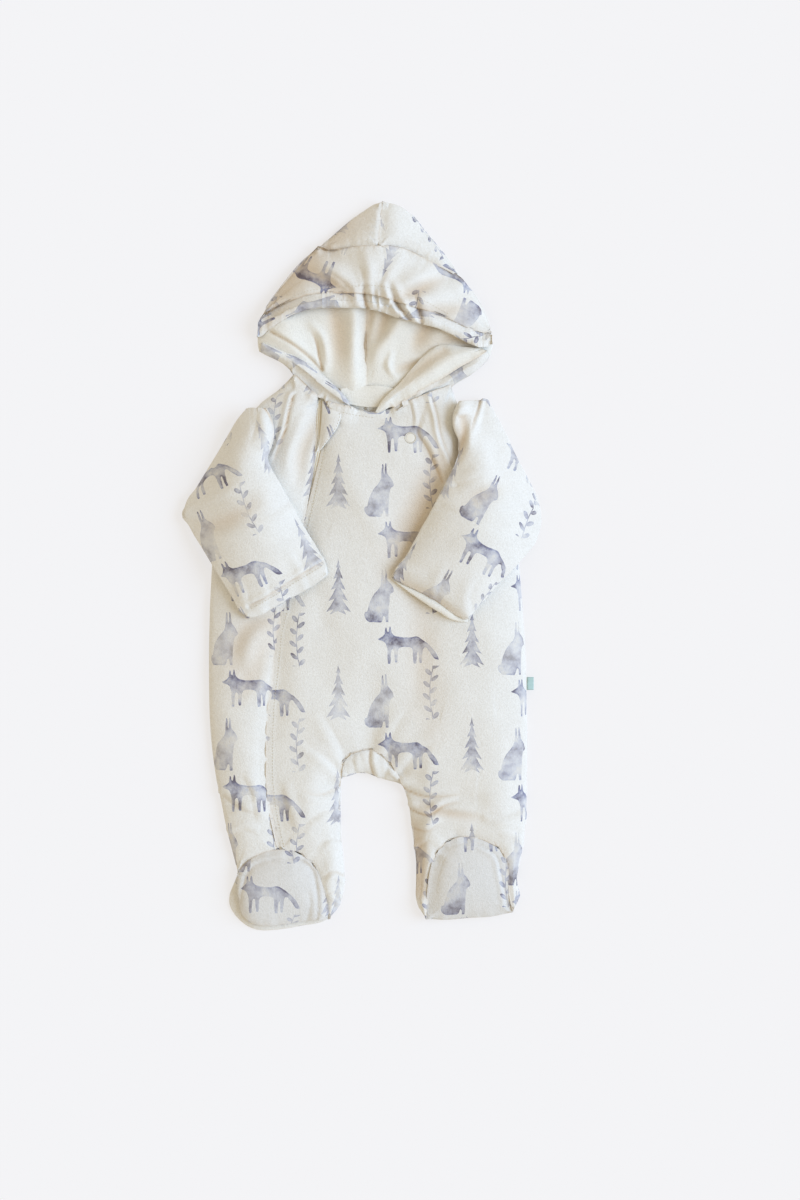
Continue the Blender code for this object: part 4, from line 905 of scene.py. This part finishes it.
facing = Panel("neck_facing", 3)
facing_piece = facing.finish(plain_velour, "plain_velour")
roll = Panel("lining_roll_right", 3)
roll.ridges((
    (((34, 158, 1.0), (62, 176, 2.6), (88, 192, 2.6), (112, 201, 1.0)), 7, 6),
    (((34, 166, -1.0), (54, 184, -2.6), (76, 200, -2.6)), 5, 6),
))
roll.lumps(18, 0.5, 35)
draw_at_neck(roll, NECK["roll_width"], -NECK["roll_down"])
roll_piece = roll.finish(plain_velour, "plain_velour")
for node, size, shift in (("lip_left", (0.115, 0.018), (12, 30)), ("lip_right", (0.11, 0.0155), (71, 64))):
    lip = Panel(node, 3)
    lip.seam(0.3, 1.8, 0.5, 7, 6, 37)
    lip.ridges(((NECK_SEAM, NECK["width"], NECK["width"]), (LIP_TAIL, *LIP_TAIL_WIDTHS)))
    draw_at_neck(lip, NECK["width"], -NECK["lip_down"])
    piece = lip.finish(printed_velour, "printed_velour", turn=60, shift=shift)

HOOD_FOLDS = (
    # Creases that leave the gathers.
    (((-9, 256), (-22, 268), (-40, 279)), 4, 0.5, 1.2, "end"),
    (((4, 258), (2, 268), (-3, 280)), 3.5, 0.5, 1.1, "end"),
    (((17, 257), (20, 268), (26, 278)), 3.5, 0.5, 1.0, "end"),
    (((38, 249), (52, 256), (70, 266)), 4, 0.5, 1.2, "end"),
    # Short puckers on the left of the centre seam.
    (((16, 304), (10, 303), (3, 304)), 1.7, 0.7, 0.9, "end"),
    (((16, 310), (11, 309.5), (5, 310)), 1.6, 0.8, 1.0, "end"),
    (((17, 316), (11, 316), (6, 316.5)), 1.6, 0.7, 0.9, "end"),
    (((18, 322), (13, 322), (8, 323)), 1.5, 0.7, 0.8, "end"),
)
HOOD_RIDGES = (
    # The hood's left side falls away, with painted shade.
    (((-92, 232, -2.0), (-66, 268, -3.6), (-34, 300, -3.0), (-4, 326, -1.5)), 12, 15),
    (((15, 298, 0.5), (15.5, 316, 1.6), (17, 334, 1.0)), 4, 3),
    (((-6, 257, 2.5), (-20, 270, 4.5), (-42, 286, 1.5)), 9, 8),
    (((-12, 253, -2.0), (-28, 262, -4.0), (-54, 275, -1.0)), 8, 8),
    (((-24, 250, 1.5), (-44, 254, 3.2), (-72, 258, 1.0)), 8, 8),
    (((8, 258, 2.0), (8, 272, 3.0), (4, 290, 0.8)), 6, 6),
    (((22, 257, 2.0), (26, 270, 3.0), (36, 286, 0.8)), 6, 6),
    (((30, 254, 2.5), (48, 264, 4.6), (72, 280, 1.5)), 9, 7),
    (((37, 250, -2.0), (54, 257, -4.0), (74, 268, -1.2)), 6, 6),
    (((44, 245, 2.5), (62, 247, 4.2), (88, 256, 1.5)), 8, 8),
    (((58, 238, -1.5), (78, 238, -2.5), (98, 240, -0.8)), 6, 6),
)
# The elastic bunches the casing most left of the middle, where it draws it into uneven tucks.
CASING_RIDGES = (
    (((-24, 240, 0.5), (-25, 256, 1.2)), 5, 5),
    (((-2, 238, 2.0), (-4, 248, 3.4), (-7, 259, 1.0)), 5, 3),
    (((6.5, 236, -3.5), (3.7, 248, -4.0), (2.8, 260, -2.0)), 1.6, 1.6),
    (((12.1, 240, 1.5), (10.8, 249, 3.0), (9.5, 260, 1.0)), 2.2, 1.9),
    (((18, 240, 1.5), (16.6, 250, 3.0), (15.8, 261, 0.8)), 2.0, 1.8),
    (((40, 228, 3.0), (28, 243, 6.0), (21, 260, 2.5)), 3.9, 3.2),
    (((45.5, 228, -2.5), (34, 243, -3.4), (27, 259, -1.0)), 1.8, 1.8),
    (((51, 228, 4.0), (41, 242, 6.2), (31, 261, 2.0)), 3.7, 3.8),
    (((56, 226, -3.4), (53, 240, -3.4), (50, 254, -1.0)), 2.2, 2.2),
    (((70, 220, 1.0), (62, 236, 2.4), (57, 247, 0.8)), 5, 6),
)
CASING_END = {"length": 9, "tip": 0.5, "narrowed": 0.5}    # each end is rounded toward its tip's middle
HOOD_TURN = {"hood_front": 160, "hood_casing": 112, "crown_left": 95, "crown_right": -150}
hood_pieces = {}
for node, size, area in (("hood_front", (0.215, 0.06), 0.0095), ("hood_casing", (0.25, 0.026), 0.0060),
                         ("crown_left", (0.062, 0.048), 0.0020), ("crown_right", (0.08, 0.073), 0.0028)):
    hood = Panel(node, 3)
    hood.folds(HOOD_FOLDS)
    hood.ridges(HOOD_RIDGES)
    if node == "hood_casing":
        hood.iron(0.95, 21)
        for end in (hood.place[:, 0].min(), hood.place[:, 0].max()):
            near = np.abs(hood.place[:, 0] - end) < CASING_END["length"]
            share = 1 - np.abs(hood.place[near, 0] - end) / CASING_END["length"]
            middle = hood.place[near, 1][share > CASING_END["tip"]].mean()
            hood.points[near, 1] += (middle - hood.points[near, 1]) * CASING_END["narrowed"] * share ** 2
            # The rounded ends keep less painted shade toward their tips.
            hood.painted_shade[near] *= 1 - share
    hood.ridges(CASING_RIDGES)
    hood.lumps(30, 0.6, 41)
    hood.seam(0.7, 2.0, 0.25, 15, 9, 43)
    piece = hood.finish(printed_velour, "printed_velour", turn=HOOD_TURN[node], shift=(30, 20))
    hood_pieces[node] = piece

# ------------------------------------------------------------
# The guard is a folded corner of the printed velour that covers the zip's top and keeps it off the chin.
# ------------------------------------------------------------
GUARD_RISE = 0.7       # it runs up under the hood's edge by this share of the zip's way
guard = Panel("zip_guard", 3, tight=False)
guard.points[:, 1] += np.interp(guard.place[:, 1], *NECK_REACH) * GUARD_RISE
guard_piece = guard.finish(printed_velour, "printed_velour", turn=20, shift=(5, 60))

# ------------------------------------------------------------
# The popper is a pressed ring cap, enamelled cream; its prongs go through the front to the stud behind.
# ------------------------------------------------------------
# Its ring stands proud of a sunk centre. Rows are radius, height, and how much painted shade the cap gets
# there, most where its edge turns down.
POPPER = {"x": 46, "y": 119.5, "radius": 5.5, "steps": 72, "sunk": 0.5}
POPPER_CREAM = "#e2ddd0"
POPPER_EDGE_SHADE = "#8d8065"
POPPER_PROFILE = ((0.0, 0.75, 0), (1.6, 0.8, 0), (3.2, 0.75, 0), (4.1, 0.6, 0.1), (4.35, 0.5, 0.8),
                  (4.5, 0.65, 0.5), (4.75, 0.95, 0.1), (5.0, 1.0, 0.1), (5.25, 0.85, 0.5), (5.45, 0.5, 1),
                  (5.55, 0.0, 1), (5.4, -0.6, 1))


def make_piece(name, points, faces, material):
    """A piece with a mesh of its own, from points in millimetres."""
    mesh = bpy.data.meshes.new(name)
    mesh.from_pydata([Vector(point) * MM for point in points], [], faces)
    mesh.update()
    mesh.shade_smooth()
    mesh.materials.append(material)
    piece = bpy.data.objects.new(name, mesh)
    bpy.context.scene.collection.objects.link(piece)
    return piece


# Pressed brass under baked enamel: a smooth half-gloss cream, with painted shade where the ring turns down.
enamel, tree, shader = start_material("pressed_brass_enamelled_cream", {
    "Roughness": 0.42, "Coat Weight": 0.25, "Coat Roughness": 0.3})
# Painted shade: the cap is darker where its edge turns down.
edge = add(tree, "Attribute", attribute_name="edge")
ring = add(tree, "Mix", {"Factor": edge.outputs["Fac"], "A": linear(POPPER_CREAM), "B": linear(POPPER_EDGE_SHADE)},
           data_type="RGBA")
cap_place = add(tree, "TexCoord").outputs["Object"]
orange_peel = add(tree, "TexNoise", {"Vector": cap_place, "Scale": 1600, "Detail": 1})
peel = add(tree, "Bump", {"Height": orange_peel, "Strength": 0.15, "Distance": 0.05 * MM})
tree.links.new(ring.outputs["Result"], shader.inputs["Base Color"])
tree.links.new(peel.outputs["Normal"], shader.inputs["Normal"])

# It leans as the cloth beneath it does.
chest = front_panels[0]
from_middle = chest.points[:, :2] - (POPPER["x"], POPPER["y"])
beneath = (np.hypot(*from_middle.T) < POPPER["radius"]) & (chest.normals[:, 2] > FACES_UP)
flat_cloth = np.c_[from_middle[beneath], np.ones(beneath.sum())]
lean = np.linalg.lstsq(flat_cloth, chest.points[beneath, 2], rcond=None)[0]
popper_points = []
popper_faces = []
popper_edge_shade = []
count = POPPER["steps"]
for radius, height, edge in POPPER_PROFILE:
    for step in range(count):
        angle = math.tau * step / count
        x, y = radius * math.cos(angle), radius * math.sin(angle)
        level = lean[2] + lean[0] * x + lean[1] * y
        popper_points.append((POPPER["x"] + x, POPPER["y"] + y, level + height - POPPER["sunk"]))
        popper_edge_shade.append(edge)
for row in range(len(POPPER_PROFILE) - 1):
    for step in range(count):
        after = (step + 1) % count
        popper_faces.append((row * count + step, (row + 1) * count + step, (row + 1) * count + after,
                             row * count + after))
popper_piece = make_piece("popper_cap", popper_points, popper_faces, enamel)
popper_piece.data.attributes.new("edge", "FLOAT", "POINT").data.foreach_set("value", popper_edge_shade)
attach(popper_piece, "root")
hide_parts("popper")

# ------------------------------------------------------------
# Topstitching in polyester thread beside the zip, round the guard, along the neck and the casing, and at the
# hem of a cuff. The stitches sink a little into the pile.
# ------------------------------------------------------------
STITCH = {"length": 2.2, "spacing": 3.0, "half": 0.3, "sunk": 0.1, "beside_zip": 5.0, "above": 90,
          "colour": "#d9d0bb", "shade": "#c6baa0"}
zip_offset = np.c_[-np.gradient(ZIP_LINE[:, 1]), np.gradient(ZIP_LINE[:, 0])]
zip_offset /= np.hypot(*zip_offset.T)[:, None]
STITCH_LINES = (
    ("front", "front_main", front_pieces[0],
     (ZIP_LINE - STITCH["beside_zip"] * zip_offset,
      smooth_line(((-17, 143.5), (-8, 141.5), (2, 140), (12, 138.5))))),
    ("guard", "zip_guard", guard_piece,
     (smooth_line(((-20, 146), (-20, 138), (-24, 128), (-31, 118), (-37, 110))),)),
    ("cuff", "sleeve_left_upper", sleeve_pieces["left"],
     (smooth_line(((-102, -39.5), (-79, -26.5), (-57, -12.5), (-34, 1.5))),)),
    ("casing", "hood_front", hood_pieces["hood_front"],
     (smooth_line(((-88, 231), (-61, 251), (-34, 258), (-10, 259), (14, 259.5), (38, 254), (60, 245),
                   (84, 233))),)),
)
# Spun polyester: matt, a shade darker than the cloth, with a faint twist.
thread, tree, shader = start_material("sewing_thread_spun_polyester", {"Roughness": 0.7})
twist = add(tree, "TexNoise", {"Vector": add(tree, "TexCoord").outputs["Object"], "Scale": 1400, "Detail": 2})
ply = add(tree, "Mix", {"Factor": twist, "A": linear(STITCH["shade"]), "B": linear(STITCH["colour"])},
          data_type="RGBA")
tree.links.new(ply.outputs["Result"], shader.inputs["Base Color"])
for name, node, piece, lines in STITCH_LINES:
    cloth = BVHTree.FromPolygons([vertex.co / MM for vertex in piece.data.vertices],
                                 [face.vertices[:] for face in piece.data.polygons])
    points = []
    faces = []
    for line in lines:
        lengths = np.r_[0, np.cumsum(np.hypot(*np.diff(line, axis=0).T))]
        for start in np.arange(0, lengths[-1] - STITCH["length"], STITCH["spacing"]):
            ends = []
            for reach in (start, start + STITCH["length"] / 2, start + STITCH["length"]):
                x, y = np.interp(reach, lengths, line[:, 0]), np.interp(reach, lengths, line[:, 1])
                ends.append(cloth.ray_cast(Vector((x, y, STITCH["above"])), Vector((0, 0, -1)))[0])
            if any(end is None for end in ends) or abs(ends[0].z - ends[2].z) > STITCH["length"]:
                continue
            across = (ends[2] - ends[0]).cross(Vector((0, 0, 1))).normalized() * STITCH["half"]
            middle = ends[1] + Vector((0, 0, STITCH["half"] - STITCH["sunk"]))
            first = len(points)
            points += [ends[0], middle + across, middle + Vector((0, 0, STITCH["half"])), middle - across,
                       middle - Vector((0, 0, STITCH["half"] * 2)), ends[2]]
            for side in range(4):
                faces.append((first, first + 1 + side, first + 1 + (side + 1) % 4))
                faces.append((first + 5, first + 1 + (side + 1) % 4, first + 1 + side))
    row_of_stitches = make_piece("stitches_" + name, points, faces, thread)
    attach(row_of_stitches, "root")
    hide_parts(node)

# ------------------------------------------------------------
# The side label is a short woven tape, folded in half and caught in the side seam; it is bare.
# ------------------------------------------------------------
LABEL = {"y": -109, "width": 12.0, "tape": 0.42, "layers": 0.34, "sewn": 2.0, "curl": 0.7, "lowest_at": 0.35,
         "turns": 8, "rows": 12, "rib": 1.2}
low, high = (np.array(corner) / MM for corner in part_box("label"))
label_middle = (low[2] + high[2]) / 2
fold_radius = (LABEL["layers"] + LABEL["tape"]) / 2
fold_middle = high[0] - fold_radius - LABEL["tape"] / 2
loop = [(low[0], -fold_radius), (low[0] + LABEL["sewn"], -fold_radius)]
for turn in range(LABEL["turns"] + 1):
    angle = math.pi * turn / LABEL["turns"] - math.pi / 2
    loop.append((fold_middle + fold_radius * math.cos(angle), fold_radius * math.sin(angle)))
loop += [(low[0] + LABEL["sewn"], fold_radius), (low[0], fold_radius)]
section = []
for index, (x, z) in enumerate(loop):
    before, after = loop[max(index - 1, 0)], loop[min(index + 1, len(loop) - 1)]
    across = Vector((after[1] - before[1], before[0] - after[0])).normalized() * LABEL["tape"] / 2
    section.append(((x + across.x, z + across.y), (x - across.x, z - across.y)))
ring = [outer for outer, _ in section] + [inner for _, inner in reversed(section)]
label_points = []
label_faces = []
for row in range(LABEL["rows"] + 1):
    share = row / LABEL["rows"]
    y = LABEL["y"] + LABEL["width"] * (share - 0.5)
    for x, z in ring:
        curl = LABEL["curl"] * math.cos(math.pi * (share - LABEL["lowest_at"]))
        drop = curl * (x - low[0]) / (high[0] - low[0])
        label_points.append((x, y, label_middle + z - drop))
count = len(ring)
for row in range(LABEL["rows"]):
    for index in range(count):
        after = (index + 1) % count
        label_faces.append((row * count + index, row * count + after, (row + 1) * count + after,
                            (row + 1) * count + index))
pairs = len(section)
for start, turned in ((0, False), (LABEL["rows"] * count, True)):
    for index in range(pairs - 1):
        face = [start + index, start + index + 1, start + count - 2 - index, start + count - 1 - index]
        label_faces.append(face if turned else face[::-1])
# Its darker colour is painted shade in the grooves.
label_tape = ribbed_tape("label_tape_woven_cotton", "#b9d1cd", "#a3c0bc", LABEL["rib"], 0.15 * MM)
label_piece = make_piece("side_label", label_points, label_faces, label_tape)
label_piece.data.attributes.new("cut", "FLOAT_VECTOR", "POINT").data.foreach_set(
    "vector", np.array([(y * MM, x * MM, 0) for x, y, _ in label_points]).ravel())
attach(label_piece, "root")
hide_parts("label")

# ------------------------------------------------------------
# A table of opal acrylic lit from below, soft daylight that comes in low from the right, and a pale warm
# room, seen from straight above.
# ------------------------------------------------------------
TABLE_SIZE = 6000
OPAL_FACE = "#8b8b8b"
OPAL_GLOW = "#d1d0d1"
ROOM = {"colour": "#fff2db", "strength": 0.74}
WINDOW = {"from": (1.0, 0.06, 0.78), "strength": 2.91, "softness": 46, "colour": "#bad8ff"}
# Opal acrylic, cast and matt: its own light keeps it even and almost free of shadows.
opal, _, _ = start_material("opal_acrylic_lit", {
    "Base Color": linear(OPAL_FACE), "Roughness": 0.9, "Specular IOR Level": 0.1,
    "Emission Color": linear(OPAL_GLOW), "Emission Strength": 1.0})
half = TABLE_SIZE / 2
table_corners = ((-half, -half, 0), (half, -half, 0), (half, half, 0), (-half, half, 0))
table = make_piece("table", table_corners, [(0, 1, 2, 3)], opal)

room = bpy.data.worlds.new("pale_room")
room.use_nodes = True
room.node_tree.nodes["Background"].inputs["Color"].default_value = linear(ROOM["colour"])
room.node_tree.nodes["Background"].inputs["Strength"].default_value = ROOM["strength"]
bpy.context.scene.world = room

lamp = bpy.data.lights.new("window", "SUN")
lamp.energy = WINDOW["strength"]
lamp.angle = math.radians(WINDOW["softness"])
lamp.color = linear(WINDOW["colour"])[:3]
window = bpy.data.objects.new("window", lamp)
window.rotation_euler = Vector(WINDOW["from"]).to_track_quat("Z", "Y").to_euler()
bpy.context.scene.collection.objects.link(window)

PHOTO = {"width": 800, "height": 1200, "pixel": 0.93 * MM, "middle_x": 361, "middle_y": 566.5}
SENSOR = 36.0
LENS = 100.0
MIDDLE_HEIGHT = 15 * MM    # of the garment, where a photo pixel is measured
lens = bpy.data.cameras.new("camera")
lens.sensor_width = SENSOR
lens.sensor_fit = "AUTO"
lens.lens = LENS
camera = bpy.data.objects.new("camera", lens)
distance = PHOTO["height"] * PHOTO["pixel"] * LENS / SENSOR
camera.location = ((PHOTO["width"] / 2 - PHOTO["middle_x"]) * PHOTO["pixel"],
                   (PHOTO["middle_y"] - PHOTO["height"] / 2) * PHOTO["pixel"], MIDDLE_HEIGHT + distance)
bpy.context.scene.collection.objects.link(camera)
bpy.context.scene.camera = camera
bpy.context.scene.view_settings.view_transform = "Standard"

bpy.context.view_layer.update()
